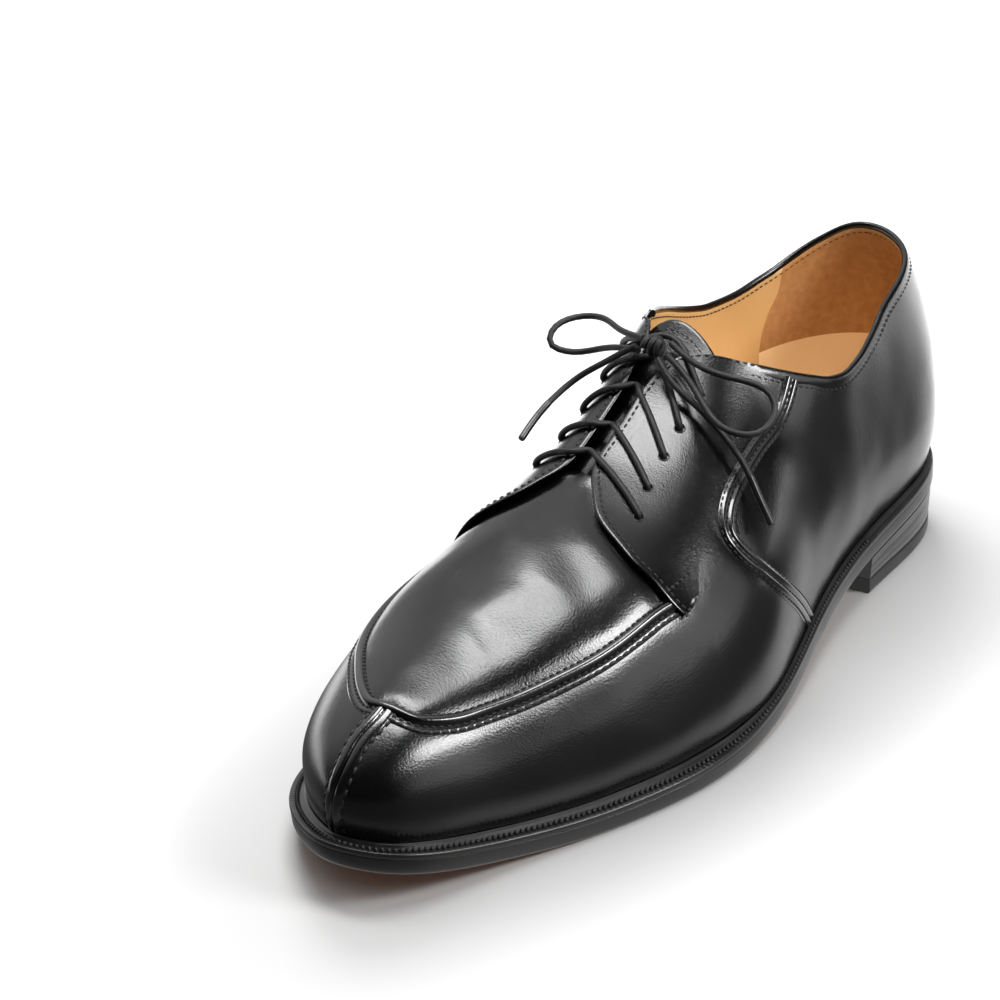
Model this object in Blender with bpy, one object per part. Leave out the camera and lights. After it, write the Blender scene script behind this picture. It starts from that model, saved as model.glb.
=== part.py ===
"""Split toe derby, left shoe: welted leather sole, stacked heel, hollow laced upper.

Lengths are in millimetres until a mesh is made. A station is the distance from the back of
the heel along the shoe, x is positive on the outer (lateral) side, z is the height.
"""
from math import pi

import bmesh
import bpy
import numpy as np
from mathutils import Vector

# Driving sizes
MM = 0.001
LENGTH = 300.0              # outsole, heel to toe
CENTRE_X = 3.2              # middle of the outsole's width
CENTRE_STATION = 148.9      # middle of the shoe's length
GAP = 0.3                   # between pieces that touch
OUTSOLE = 5.0
WELT = 3.0
WALL = 2.0                  # leather and lining of the upper
TOE_SPRING = 13.0
FLAT_BACK, FLAT_FRONT = 190.0, 225.0    # forefoot stretch that stands on the floor
BREAST = 70.0               # station of the heel's front face
BREAST_RISE = 13.5          # underside of the outsole at the breast
SEAT_RISE = 19.0            # the same at the back of the heel
TOP_LIFT = 5.0
THROAT_TOP = 114.0          # outline stations between which the facings end at the throat
THROAT_FRONT = 195.0
FACING_STEP = 1.6
TONGUE_THICK = 2.0
LACE_RADIUS = 1.0

# Outsole edge: station, lateral x, medial x
OUTLINE = np.array((
    (0, 1.5, 1.5),
    (8, 21.8, -17.8),
    (30, 33, -30),
    (65, 36.5, -33.5),
    (110, 43.5, -31),
    (150, 54, -33.5),
    (195, 56.5, -45.5),
    (230, 46, -51),
    (260, 33.2, -44.8),
    (284, 23.3, -28),
    (295, 15, -13.4),
    (300, 0.8, 0.8)))

# Ledge of welt outside the upper: station, width
LEDGE = np.array(((0, 1.4), (60, 3.0), (110, 2.6), (150, 2.2), (200, 5.6), (300, 5.5)))

# Foot of each section of the upper and the middle line that the section closes on:
# outline station, middle station, middle x
MIDDLE = np.array((
    (0, 40, -3),
    (40, 50, -3),
    (80, 80, -3),
    (110, 109, -3.5),
    (150, 141, -3.5),
    (190, 174, -3.5),
    (215, 203, -3.4),
    (255, 237, -3),
    (300, 250, -2.5)))

# Sections of the upper: station, lateral swell, medial swell, height of the widest place,
# lateral and medial fullness of the arch above it
SECTION = np.array((
    (0, 3.6, 3.4, 20, 1.95, 1.95),
    (40, 3.0, 3.2, 20.5, 1.90, 1.90),
    (80, 3.2, 3.0, 20, 2.05, 2.05),
    (120, 0.8, 3.8, 18.5, 1.80, 2.20),
    (160, 1.5, 1.6, 14, 1.90, 2.10),
    (200, 1.5, 1.2, 12, 2.05, 2.15),
    (240, 1.5, 0.4, 10, 2.00, 2.00),
    (270, 1.2, 0.2, 10.3, 1.90, 1.90),
    (300, 1.4, 1.4, 10.5, 1.90, 1.90)))

# Ridge of the last, where the two sides of a section meet: middle station, height
RIDGE = np.array((
    (40, 132), (58, 137), (78, 143), (95, 124), (115, 108), (145, 88), (172, 76),
    (195, 70.5), (215, 65.5), (235, 58), (250, 52.5)))

# Collar edge: outline station, lateral height, medial height
COLLAR = np.array((
    (0, 101.5, 101.5),
    (8, 98.8, 96),
    (30, 94.4, 86.8),
    (45, 91.1, 84.8),
    (60, 85.4, 86),
    (70, 82.7, 88.7),
    (79, 81.9, 92),
    (88, 83.2, 95.8),
    (95, 85.9, 98.6),
    (105, 90.6, 102.4),
    (114, 95.2, 106)))

# Gap between the facings: outline station, lateral and medial distance from the ridge
THROAT = np.array((
    (114, 25.2, 13.5),
    (117, 22.7, 10.3),
    (121, 18.6, 6.9),
    (126, 13.2, 4.6),
    (130, 9.4, 3.4),
    (135, 6.4, 3.1),
    (142, 4.4, 3.0),
    (150, 3.3, 2.9),
    (195, 4.0, 4.0)))


# Curves through the rows of a table

def smooth(xs, ys, at):
    """Natural cubic through the rows: for outlines."""
    step = np.diff(xs)
    count = len(xs)
    system = np.eye(count)
    right = np.zeros(count)
    for i in range(1, count - 1):
        system[i, i - 1:i + 2] = step[i - 1], 2 * (step[i - 1] + step[i]), step[i]
        right[i] = 6 * ((ys[i + 1] - ys[i]) / step[i] - (ys[i] - ys[i - 1]) / step[i - 1])
    bend = np.linalg.solve(system, right)
    i = int(np.clip(np.searchsorted(xs, at) - 1, 0, count - 2))
    t, h = at - xs[i], step[i]
    slope = (ys[i + 1] - ys[i]) / h - h * (2 * bend[i] + bend[i + 1]) / 6
    return ys[i] + t * slope + t * t * bend[i] / 2 + t ** 3 * (bend[i + 1] - bend[i]) / (6 * h)


def steady(table, column, at):
    """Monotone cubic through a table's rows, with no overshoot: for heights and widths."""
    xs, ys = table[:, 0], table[:, column]
    step = np.diff(xs)
    rise = np.diff(ys) / step
    slope = np.zeros(len(xs))
    slope[0], slope[-1] = rise[0], rise[-1]
    for i in range(1, len(xs) - 1):
        if rise[i - 1] * rise[i] > 0:
            near, far = 2 * step[i] + step[i - 1], step[i] + 2 * step[i - 1]
            slope[i] = (near + far) / (near / rise[i - 1] + far / rise[i])
    at = min(max(at, xs[0]), xs[-1])
    i = int(np.clip(np.searchsorted(xs, at) - 1, 0, len(xs) - 2))
    t, h = (at - xs[i]) / step[i], step[i]
    return ((1 + 2 * t) * (1 - t) ** 2 * ys[i] + t * (1 - t) ** 2 * h * slope[i]
            + t * t * (3 - 2 * t) * ys[i + 1] + t * t * (t - 1) * h * slope[i + 1])


def ease(start, end, value):
    """0 before start, 1 after end, a smooth step between."""
    t = min(max((value - start) / (end - start), 0.0), 1.0)
    return t * t * (3 - 2 * t)


# The sole's outline and heights. The turn runs from 0 at the heel to pi at the toe, so that
# both round ends are regular.

def turn_of(station):
    return float(np.arccos(1 - 2 * station / LENGTH))


def station_of(turn):
    return LENGTH / 2 * (1 - np.cos(turn))


OUTLINE_TURN = np.array([turn_of(row[0]) for row in OUTLINE])


def edge(side, turn, inset=0.0):
    """A point of the outsole's edge, moved inward by inset: x, station."""
    column = OUTLINE[:, 1 if side > 0 else 2]
    x = smooth(OUTLINE_TURN, column, turn)
    delta = 1e-4
    along = smooth(OUTLINE_TURN, column, turn + delta) - smooth(OUTLINE_TURN, column, turn - delta)
    forward = station_of(turn + delta) - station_of(turn - delta)
    length = np.hypot(along, forward)
    return (x - side * forward / length * inset,
            station_of(turn) + side * along / length * inset)


def underside(station):
    """Height of the outsole's underside."""
    toe = max((station - FLAT_FRONT) / (LENGTH - FLAT_FRONT), 0.0)
    waist = min(max((FLAT_BACK - station) / (FLAT_BACK - BREAST), 0.0), 1.0)
    pitch = (SEAT_RISE - BREAST_RISE) / BREAST
    arch = BREAST_RISE * (3 * waist ** 2 - 2 * waist ** 3)
    arch += pitch * (FLAT_BACK - BREAST) * (waist ** 3 - waist ** 2)
    return TOE_SPRING * toe ** 2 + arch + pitch * max(BREAST - station, 0.0)


# Objects and materials

for old in list(bpy.data.objects):
    bpy.data.objects.remove(old, do_unlink=True)

parts = bpy.data.collections.new("split_toe_derby")
cutters = bpy.data.collections.new("cutters")
bpy.context.scene.collection.children.link(parts)
bpy.context.scene.collection.children.link(cutters)

# Colour and roughness of each material
FINISHES = {
    "black_calf": ((0.012, 0.012, 0.013), 0.25),
    "black_edge": ((0.020, 0.020, 0.020), 0.35),
    "black_rubber": ((0.015, 0.015, 0.015), 0.60),
    "tan_leather": ((0.560, 0.330, 0.150), 0.50),
    "black_lace": ((0.010, 0.010, 0.010), 0.55),
}
materials = {}
for finish, (colour, roughness) in FINISHES.items():
    material = bpy.data.materials.new(finish)
    material.use_nodes = True
    shader = material.node_tree.nodes["Principled BSDF"]
    shader.inputs["Base Color"].default_value = (*colour, 1.0)
    shader.inputs["Roughness"].default_value = roughness
    materials[finish] = material


def place(point):
    """Shoe sizes (x, station, z in mm) to the part's own frame in metres, toe at -Y."""
    x, station, z = point
    return ((x - CENTRE_X) * MM, (CENTRE_STATION - station) * MM, z * MM)


def make_object(name, points, faces, finish, collection=parts):
    mesh = bpy.data.meshes.new(name)
    mesh.from_pydata([place(p) for p in points], [], faces)
    solid = bmesh.new()
    solid.from_mesh(mesh)
    bmesh.ops.recalc_face_normals(solid, faces=solid.faces)
    solid.to_mesh(mesh)
    solid.free()
    mesh.shade_smooth()
    mesh.set_sharp_from_angle(angle=0.6)
    mesh.materials.append(materials[finish])
    item = bpy.data.objects.new(name, mesh)
    collection.objects.link(item)
    return item


# Bottom of the shoe: slabs between loops that follow the outline

SOLE_TURNS = sorted(list(np.linspace(0, pi, 41)) + [turn_of(FLAT_BACK), turn_of(FLAT_FRONT)])
HEEL_TURNS = list(np.linspace(0, turn_of(BREAST), 15))


def loop_points(turns, inset, height):
    """A loop round the outline: lateral from the heel forward, medial on the way back."""
    pointed_toe = turns[-1] > pi - 1e-6
    returning = turns[-2:0:-1] if pointed_toe else turns[:0:-1]
    points = []
    for side, run in ((1, turns), (-1, returning)):
        for turn in run:
            width = inset(station_of(turn)) if callable(inset) else inset
            x, station = edge(side, turn, width)
            points.append((x, station, height(station)))
    return points


def slab(name, turns, loops, finish):
    """A solid through loops given as (inset, height), from the lowest to the highest."""
    points = []
    for inset, height in loops:
        points += loop_points(turns, inset, height)
    size = len(points) // len(loops)
    faces = []
    for level in range(len(loops) - 1):
        low, high = level * size, (level + 1) * size
        for i in range(size):
            j = (i + 1) % size
            faces.append((low + i, low + j, high + j, high + i))
    last = len(turns) - 1
    for start in (0, (len(loops) - 1) * size):
        for i in range(last):
            ring = [start + i, start + i + 1, start + (size - i - 1) % size, start + (size - i) % size]
            faces.append(tuple(dict.fromkeys(ring)))
    return make_object(name, points, faces, finish)


def above(offset):
    return lambda station: underside(station) + offset


def level(height):
    return lambda station: height


def ledge(extra):
    return lambda station: steady(LEDGE, 1, station) + extra


slab("outsole", SOLE_TURNS, ((1.0, above(0)), (0.2, above(0.8)), (0.2, above(OUTSOLE))), "black_edge")
slab("insole", SOLE_TURNS, ((ledge(WALL + 0.6), above(OUTSOLE + GAP)),
                            (ledge(WALL + 0.6), above(OUTSOLE + WELT + 1.6))), "tan_leather")
slab("heel_stack", HEEL_TURNS, ((2.0, level(TOP_LIFT + GAP)), (0.8, above(-GAP))), "black_edge")
slab("heel_top_lift", HEEL_TURNS, ((2.7, level(0)), (2.2, level(0.8)), (2.0, level(TOP_LIFT))), "black_rubber")


def welt_ring():
    """Welt: a strip all round between outsole and upper, its outer edge bevelled."""
    profile = ((0.0, OUTSOLE + GAP), (0.0, OUTSOLE + WELT - 0.9), (0.9, OUTSOLE + WELT))
    inner = ((WALL, OUTSOLE + WELT), (WALL, OUTSOLE + GAP))
    loops = [loop_points(SOLE_TURNS, inset, above(h)) for inset, h in profile]
    loops += [loop_points(SOLE_TURNS, ledge(extra), above(h)) for extra, h in inner]
    size = len(loops[0])
    faces = []
    for k in range(len(loops)):
        low, high = k * size, (k + 1) % len(loops) * size
        for i in range(size):
            j = (i + 1) % size
            faces.append((low + i, low + j, high + j, high + i))
    return make_object("welt", [p for loop in loops for p in loop], faces, "black_edge")


welt_ring()


# The last: each section rises from the feather line, swells to its widest place and arches
# over to the ridge. The rise counts 0 to 1 up to the widest place and 1 to 2 up to the ridge.

def section(side, turn):
    """Frame of one section: middle, outward direction, radii, heights and fullness."""
    outer = station_of(turn)
    x, station = edge(side, turn, steady(LEDGE, 1, outer))
    middle, middle_x = steady(MIDDLE, 1, outer), steady(MIDDLE, 2, outer)
    radius = np.hypot(x - middle_x, station - middle)
    base = underside(station) + OUTSOLE + WELT + GAP
    wide = base + steady(SECTION, 3, outer)
    swell = steady(SECTION, 1 if side > 0 else 2, outer)
    fullness = steady(SECTION, 4 if side > 0 else 5, outer)
    ridge = steady(RIDGE, 1, middle)
    way = ((x - middle_x) / radius, (station - middle) / radius)
    return (middle_x, middle), way, radius, swell, base, wide, ridge, fullness


def last_point(side, turn, rise):
    middle, way, radius, swell, base, wide, ridge, fullness = section(side, turn)
    if rise <= 1:
        out = radius + swell * np.sin(pi / 2 * rise)
        z = base + (wide - base) * rise
    else:
        angle = min(rise - 1, 1.0) * pi / 2
        out = (radius + swell) * max(np.cos(angle), 0.0) ** (2 / fullness)
        z = wide + (ridge - wide) * np.sin(angle) ** (2 / fullness)
    return np.array((middle[0] + way[0] * out, middle[1] + way[1] * out, z))


def rise_at_distance(side, turn, distance):
    """Rise at which a section is this far from the ridge line."""
    _, _, radius, swell, _, _, _, fullness = section(side, turn)
    share = min(max(distance / (radius + swell), 0.0), 1.0)
    return 1 + np.arccos(share ** (fullness / 2)) / (pi / 2)


def rise_at_height(side, turn, height):
    """Rise at which a section reaches this height."""
    _, _, _, _, base, wide, ridge, fullness = section(side, turn)
    if height < wide:
        return (height - base) / (wide - base)
    share = min((height - wide) / (ridge - wide), 1.0)
    return 1 + np.arcsin(share ** (fullness / 2)) / (pi / 2)


def last_normal(side, turn, rise):
    """Outward direction of the last's surface."""
    turn = min(max(turn, 0.002), pi - 0.002)
    rise = min(max(rise, 0.01), 1.985)
    delta = 0.004
    along = last_point(side, turn + delta / 2, rise) - last_point(side, turn - delta / 2, rise)
    up = last_point(side, turn, rise + delta) - last_point(side, turn, rise - delta)
    normal = np.cross(along, up) * side
    return normal / np.linalg.norm(normal)


def on_last(side, turn, rise, lift=0.0):
    return last_point(side, turn, rise) + last_normal(side, turn, rise) * lift


def top_rise(side, turn):
    """Where a section of the upper ends: on the collar, at the throat, or on the ridge."""
    outer = station_of(turn)
    if outer < THROAT_TOP:
        return rise_at_height(side, turn, steady(COLLAR, 1 if side > 0 else 2, outer))
    if outer < THROAT_FRONT:
        return rise_at_distance(side, turn, steady(THROAT, 1 if side > 0 else 2, outer))
    return 2.0


def facing_lift(turn, rise):
    """The facings lie on the vamp: a step at their front edge that dies out to the back."""
    outer = station_of(turn)
    if outer > THROAT_FRONT:
        return 0.0
    return FACING_STEP * ease(116, 150, outer) * ease(1.30, 1.44, rise)


# Upper: one wall from the feather line to collar, throat and ridge

FOOT_ROWS = (0.0, 0.3, 0.65, 1.0)
ARCH_ROWS = 11
FACING_TURN = turn_of(THROAT_FRONT - 0.7)   # foot and head of the step at the facings
VAMP_TURN = turn_of(THROAT_FRONT + 0.7)
COLUMN_TURNS = sorted(
    list(np.linspace(0, turn_of(108), 15)) + [turn_of(THROAT_TOP - 0.2), turn_of(118), turn_of(123)]
    + list(np.linspace(turn_of(130), turn_of(186), 8)) + [turn_of(191), FACING_TURN, VAMP_TURN]
    + list(np.linspace(turn_of(201), pi, 16)))


def column_rises(side, turn):
    top = top_rise(side, turn)
    return list(FOOT_ROWS) + [1 + (top - 1) * k / ARCH_ROWS for k in range(1, ARCH_ROWS + 1)]


def make_upper():
    columns = [(1, turn) for turn in COLUMN_TURNS] + [(-1, turn) for turn in COLUMN_TURNS[-2:0:-1]]
    rows = len(FOOT_ROWS) + ARCH_ROWS
    outer, inner, grid, ridge_point = [], [], [], {}
    for side, turn in columns:
        column = []
        for row, rise in enumerate(column_rises(side, turn)):
            on_ridge = rise > 1.9999
            if on_ridge and round(turn, 6) in ridge_point:
                column.append(ridge_point[round(turn, 6)])
                continue
            point = last_point(side, turn, rise)
            normal = last_normal(side, turn, rise)
            if on_ridge:
                normal = last_normal(1, turn, rise) + last_normal(-1, turn, rise)
                normal /= np.linalg.norm(normal)
                ridge_point[round(turn, 6)] = len(outer)
            if row == 0:
                normal[2] = 0
                normal /= np.linalg.norm(normal)
            column.append(len(outer))
            lift = 0.0 if row == 0 else facing_lift(turn, rise)
            outer.append(point + normal * lift)
            inner.append(point - normal * WALL)
        grid.append(column)
    count, shift = len(columns), len(outer)
    faces = []
    for c in range(count):
        d = (c + 1) % count
        for r in range(rows - 1):
            ring = (grid[c][r], grid[d][r], grid[d][r + 1], grid[c][r + 1])
            ring = tuple(dict.fromkeys(ring))
            faces.append(ring)
            faces.append(tuple(shift + k for k in reversed(ring)))
        low = (grid[c][0], grid[d][0])
        faces.append((low[0], low[1], shift + low[1], shift + low[0]))
        high = (grid[c][-1], grid[d][-1])
        if min(columns[c][1], columns[d][1]) < VAMP_TURN:
            faces.append((high[0], high[1], shift + high[1], shift + high[0]))
    return make_object("upper", outer + inner, faces, "black_calf")


upper = make_upper()


# Eyelets: five plain holes in each facing, with no metal. Outline station and rise of the
# lateral hole, then of the medial one.
EYELET_RADIUS = 1.9
EYELETS = (
    (186, 1.70, 173, 1.665),
    (176, 1.74, 160.5, 1.67),
    (163, 1.755, 148, 1.665),
    (151, 1.755, 135, 1.66),
    (137, 1.735, 123, 1.67))


def eyelet_places():
    for row in EYELETS:
        yield 1, turn_of(row[0]), row[1]
        yield -1, turn_of(row[2]), row[3]


def punch_eyelets():
    punch = bmesh.new()
    for side, turn, rise in eyelet_places():
        pin = bmesh.ops.create_cone(punch, cap_ends=True, segments=10, radius1=EYELET_RADIUS * MM,
                                    radius2=EYELET_RADIUS * MM, depth=9 * MM)
        normal = last_normal(side, turn, rise)
        direction = Vector((normal[0], -normal[1], normal[2]))
        turned = direction.to_track_quat("Z", "Y").to_matrix()
        bmesh.ops.rotate(punch, verts=pin["verts"], cent=(0, 0, 0), matrix=turned)
        bmesh.ops.translate(punch, verts=pin["verts"], vec=place(on_last(side, turn, rise)))
    mesh = bpy.data.meshes.new("eyelet_punch")
    punch.to_mesh(mesh)
    punch.free()
    tool = bpy.data.objects.new("eyelet_punch", mesh)
    tool.hide_render = True
    tool.display_type = "WIRE"
    cutters.objects.link(tool)
    cut = upper.modifiers.new("eyelets", "BOOLEAN")
    cut.operation = "DIFFERENCE"
    cut.solver = "EXACT"
    cut.object = tool


punch_eyelets()


# Tongue: inside the facings, its free end rounded above the throat

TONGUE_HALF = 24.0
TONGUE_FRONT = 203.0
TONGUE_TOP = 118.0
TONGUE_ACROSS = 8
TONGUE_ALONG = 12


def make_tongue():
    lifts = (-WALL - 0.8, -WALL - 0.8 - TONGUE_THICK)
    points, faces = [], []
    for lift in lifts:
        for a in range(TONGUE_ALONG + 1):
            for b in range(TONGUE_ACROSS + 1):
                across = -1 + 2 * b / TONGUE_ACROSS
                start = TONGUE_TOP + 9 * across ** 2
                turn = turn_of(start + (TONGUE_FRONT - start) * a / TONGUE_ALONG)
                side = 1 if across >= 0 else -1
                rise = rise_at_distance(side, turn, abs(across) * TONGUE_HALF)
                normal = last_normal(side, turn, rise)
                if b * 2 == TONGUE_ACROSS:
                    normal = last_normal(1, turn, rise) + last_normal(-1, turn, rise)
                    normal /= np.linalg.norm(normal)
                points.append(last_point(side, turn, rise) + normal * lift)
    wide = TONGUE_ACROSS + 1
    size = wide * (TONGUE_ALONG + 1)
    for a in range(TONGUE_ALONG):
        for b in range(TONGUE_ACROSS):
            k = a * wide + b
            ring = (k, k + 1, k + wide + 1, k + wide)
            faces.append(ring)
            faces.append(tuple(size + i for i in reversed(ring)))
    rim = list(range(TONGUE_ACROSS))
    rim += [a * wide + TONGUE_ACROSS for a in range(TONGUE_ALONG)]
    rim += [TONGUE_ALONG * wide + b for b in range(TONGUE_ACROSS, 0, -1)]
    rim += [a * wide for a in range(TONGUE_ALONG, 0, -1)]
    for i, k in enumerate(rim):
        n = rim[(i + 1) % len(rim)]
        faces.append((k, n, size + n, size + k))
    return make_object("tongue", points, faces, "black_calf")


make_tongue()


# Raised seams: low ridges that lie on the upper's own surface. A row of the apron's seam is an
# outline station and a rise.
SEAM_HALF = 1.6
SEAM_HEIGHT = 1.3

APRON_LATERAL = ((197.5, 1.413), (208, 1.412), (222, 1.406), (236, 1.423), (248, 1.440), (261, 1.456),
                 (269, 1.466), (277, 1.495), (285, 1.538), (294, 1.615), (299, 1.665))
APRON_TIP = 1.68
APRON_MEDIAL = ((299, 1.665), (293, 1.642), (283, 1.632), (272, 1.610), (255, 1.550), (230, 1.450),
                (197.5, 1.420))
# Split of the toe: rise, and the turn round the toe, past pi on the medial side
TOE_SPLIT = ((1.57, 3.045), (1.47, 3.100), (1.35, 3.118), (1.22, 3.133), (1.06, 3.165), (0.62, 3.200),
             (0.12, 3.215))
# Seam of the quarters, from the collar round the facing to the welt: outline station, lateral
# height, medial height
QUARTER_SEAM = (
    (104, 87.0, 98.5), (109, 82.8, 91.5), (116, 78.8, 85.0), (126.4, 76.5, 80.0), (136.3, 74.1, 75.8),
    (145.2, 71.4, 72.0), (153, 68.4, 68.4), (158, 65.3, 65.3), (160.6, 61.9, 61.9), (159.7, 57.6, 57.6),
    (155.3, 51.7, 51.7), (148, 44.0, 44.0), (138, 34.5, 34.5), (127.4, 24.5, 24.5), (121, 18.2, 18.2))


def follow(rows, count, scale=1.0):
    """Even points along a smooth line through rows. The scale takes each column to like lengths."""
    rows = np.array(rows, dtype=float)
    steps = np.diff(rows * scale, axis=0)
    way = np.concatenate(([0.0], np.cumsum(np.linalg.norm(steps, axis=1))))
    return [[smooth(way, rows[:, k], at) for k in range(rows.shape[1])]
            for at in np.linspace(0, way[-1], count)]


def ridge_strip(name, places):
    """A low rounded ridge along places on the last, given as (side, turn, rise)."""
    spots = np.array([last_point(*spot) for spot in places])
    points, faces = [], []
    for i, (side, turn, rise) in enumerate(places):
        along = spots[min(i + 1, len(spots) - 1)] - spots[max(i - 1, 0)]
        normal = last_normal(side, turn, rise)
        if turn > pi - 1e-6:
            normal = last_normal(1, turn, rise) + last_normal(-1, turn, rise)
            normal /= np.linalg.norm(normal)
        across = np.cross(normal, along)
        across /= np.linalg.norm(across)
        ground = facing_lift(turn, rise) + GAP
        for width, height in ((-1, 0), (-0.6, 1), (0.6, 1), (1, 0)):
            points.append(spots[i] + across * width * SEAM_HALF + normal * (ground + height * SEAM_HEIGHT))
    for i in range(len(places) - 1):
        for k in range(4):
            n = (k + 1) % 4
            faces.append((4 * i + k, 4 * i + n, 4 * i + 4 + n, 4 * i + 4 + k))
    faces.append((0, 1, 2, 3))
    faces.append(tuple(len(points) - 4 + k for k in range(4)))
    return make_object(name, points, faces, "black_calf")


RISE_SCALE = (1.0, 60.0)    # a rise of 1 is about 60 mm on the side of the apron
apron = [(1, turn_of(station), rise) for station, rise in follow(APRON_LATERAL, 30, RISE_SCALE)]
apron.append((1, pi, APRON_TIP))
apron += [(-1, turn_of(station), rise) for station, rise in follow(APRON_MEDIAL, 26, RISE_SCALE)]
ridge_strip("apron_seam", apron)
split = []
for rise, around in follow(TOE_SPLIT, 14):
    split.append((1, around, rise) if around <= pi else (-1, 2 * pi - around, rise))
ridge_strip("toe_seam", split)
for side, word, column in ((1, "lateral", 1), (-1, "medial", 2)):
    line = follow([(row[0], row[column]) for row in QUARTER_SEAM], 28)
    ridge_strip("quarter_seam_" + word,
                [(side, turn_of(station), rise_at_height(side, turn_of(station), height))
                 for station, height in line])


# Lace: five bars between the eyelets, each from its medial hole over the facings' edges to its
# lateral hole. All but the first dip between the facings further up the throat.
BAR_DIPS = (0.0, 3.0, 8.0, 7.0, 0.5)


def tube(name, points, radius, finish):
    curve = bpy.data.curves.new(name, "CURVE")
    curve.dimensions = "3D"
    curve.bevel_depth = radius * MM
    curve.bevel_resolution = 2
    curve.use_fill_caps = True
    spline = curve.splines.new("POLY")
    spline.points.add(len(points) - 1)
    for target, point in zip(spline.points, points):
        target.co = (*place(point), 1.0)
    curve.materials.append(materials[finish])
    item = bpy.data.objects.new(name, curve)
    parts.objects.link(item)
    return item


def bar_points(row, back):
    """Route of one bar over the facings."""
    height = GAP + LACE_RADIUS + 0.4
    lateral, medial = row[:2], row[2:]
    middle = (lateral[0] + medial[0]) / 2 - back
    ends = {}
    for side, (station, rise) in ((-1, medial), (1, lateral)):
        ends[side] = []
        throat = turn_of(middle + back * 0.25)
        lip = rise_at_distance(side, throat, steady(THROAT, 1 if side > 0 else 2, middle) + 1.0)
        for share in (0.0, 0.12, 0.3, 0.55, 0.8, 1.0):
            turn = turn_of(station + (station_of(throat) - station) * share)
            spot = rise + (lip - rise) * share
            lift = facing_lift(turn, spot) + (height if share > 0 else LACE_RADIUS + 0.1)
            ends[side].append(on_last(side, turn, spot, lift))
    sag = 0.3 if back < 1 else 0.7
    centre = last_point(1, turn_of(middle), 2.0)
    centre[2] += facing_lift(turn_of(middle), 2.0) + height - sag
    return follow(ends[-1] + [centre] + ends[1][::-1], 17)


for number, row in enumerate(EYELETS, 1):
    tube(f"lace_bar_{number}", bar_points(row, BAR_DIPS[number - 1]), LACE_RADIUS, "black_lace")


# Bow: a knot over the throat, two loops and two free ends. Rows are points of the cord's middle
# line: x, station along the shoe, height.
KNOT = (0.5, 133.0, 104.0)
KNOT_RADII = (4.6, 3.6, 3.6)
LOOP_MEDIAL = ((-4.5, 131.6, 105.2), (-16.3, 128.2, 105.0), (-23.5, 125.0, 105.7), (-31.5, 125.2, 105.2),
               (-35.5, 129.8, 104.6), (-36.9, 135.0, 102.2), (-35.9, 137.0, 99.8), (-33.0, 135.7, 97.6),
               (-28.5, 133.2, 96.8), (-22.0, 131.8, 98.4), (-12.8, 133.2, 101.2), (-4.7, 133.8, 102.2))
LOOP_LATERAL = ((5.6, 131.6, 105.3), (10.0, 133.0, 103.6), (17.6, 134.8, 101.4), (26.7, 134.3, 99.6),
                (34.2, 132.6, 98.3), (39.6, 131.9, 96.2), (42.9, 133.6, 92.9), (43.9, 137.6, 89.6),
                (42.2, 141.9, 87.5), (38.7, 144.8, 87.4), (33.9, 146.3, 88.6), (28.2, 144.9, 90.7),
                (20.5, 140.4, 94.6), (13.0, 136.6, 98.8), (5.7, 134.0, 102.2))
END_MEDIAL = ((-4.0, 136.4, 104.6), (-9.0, 137.6, 101.6), (-15.5, 138.0, 97.4), (-23.4, 140.0, 92.2),
              (-27.6, 147.6, 87.6), (-28.2, 157.0, 84.2), (-28.0, 165.2, 80.5))
END_LATERAL = ((4.2, 137.2, 102.2), (9.0, 139.2, 98.0), (14.5, 140.0, 94.0), (22.1, 140.6, 89.6),
               (29.3, 141.6, 84.4), (37.4, 142.9, 76.4), (43.5, 145.3, 68.4), (49.1, 147.5, 61.5))


def make_knot():
    solid = bmesh.new()
    bmesh.ops.create_uvsphere(solid, u_segments=12, v_segments=8, radius=1.0)
    bmesh.ops.scale(solid, verts=solid.verts, vec=[radius * MM for radius in KNOT_RADII])
    bmesh.ops.translate(solid, verts=solid.verts, vec=place(KNOT))
    mesh = bpy.data.meshes.new("lace_knot")
    solid.to_mesh(mesh)
    solid.free()
    mesh.shade_smooth()
    mesh.materials.append(materials["black_lace"])
    parts.objects.link(bpy.data.objects.new("lace_knot", mesh))


make_knot()
for name, route, count in (("lace_loop_medial", LOOP_MEDIAL, 19), ("lace_loop_lateral", LOOP_LATERAL, 21),
                           ("lace_end_medial", END_MEDIAL, 11), ("lace_end_lateral", END_LATERAL, 14)):
    tube(name, follow(route, count), LACE_RADIUS, "black_lace")
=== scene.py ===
"""Split toe derby, left shoe: black polished calf on a welted leather sole, laced and tied.

Sizes are millimetres on the last: x to the outer side, station from the back of the heel,
z up from the floor. put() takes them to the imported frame, in metres, with the toe at -Y.
"""
from math import pi, radians

import bmesh
import bpy
import numpy as np
from mathutils import Matrix, Vector, noise
from mathutils.kdtree import KDTree


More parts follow.
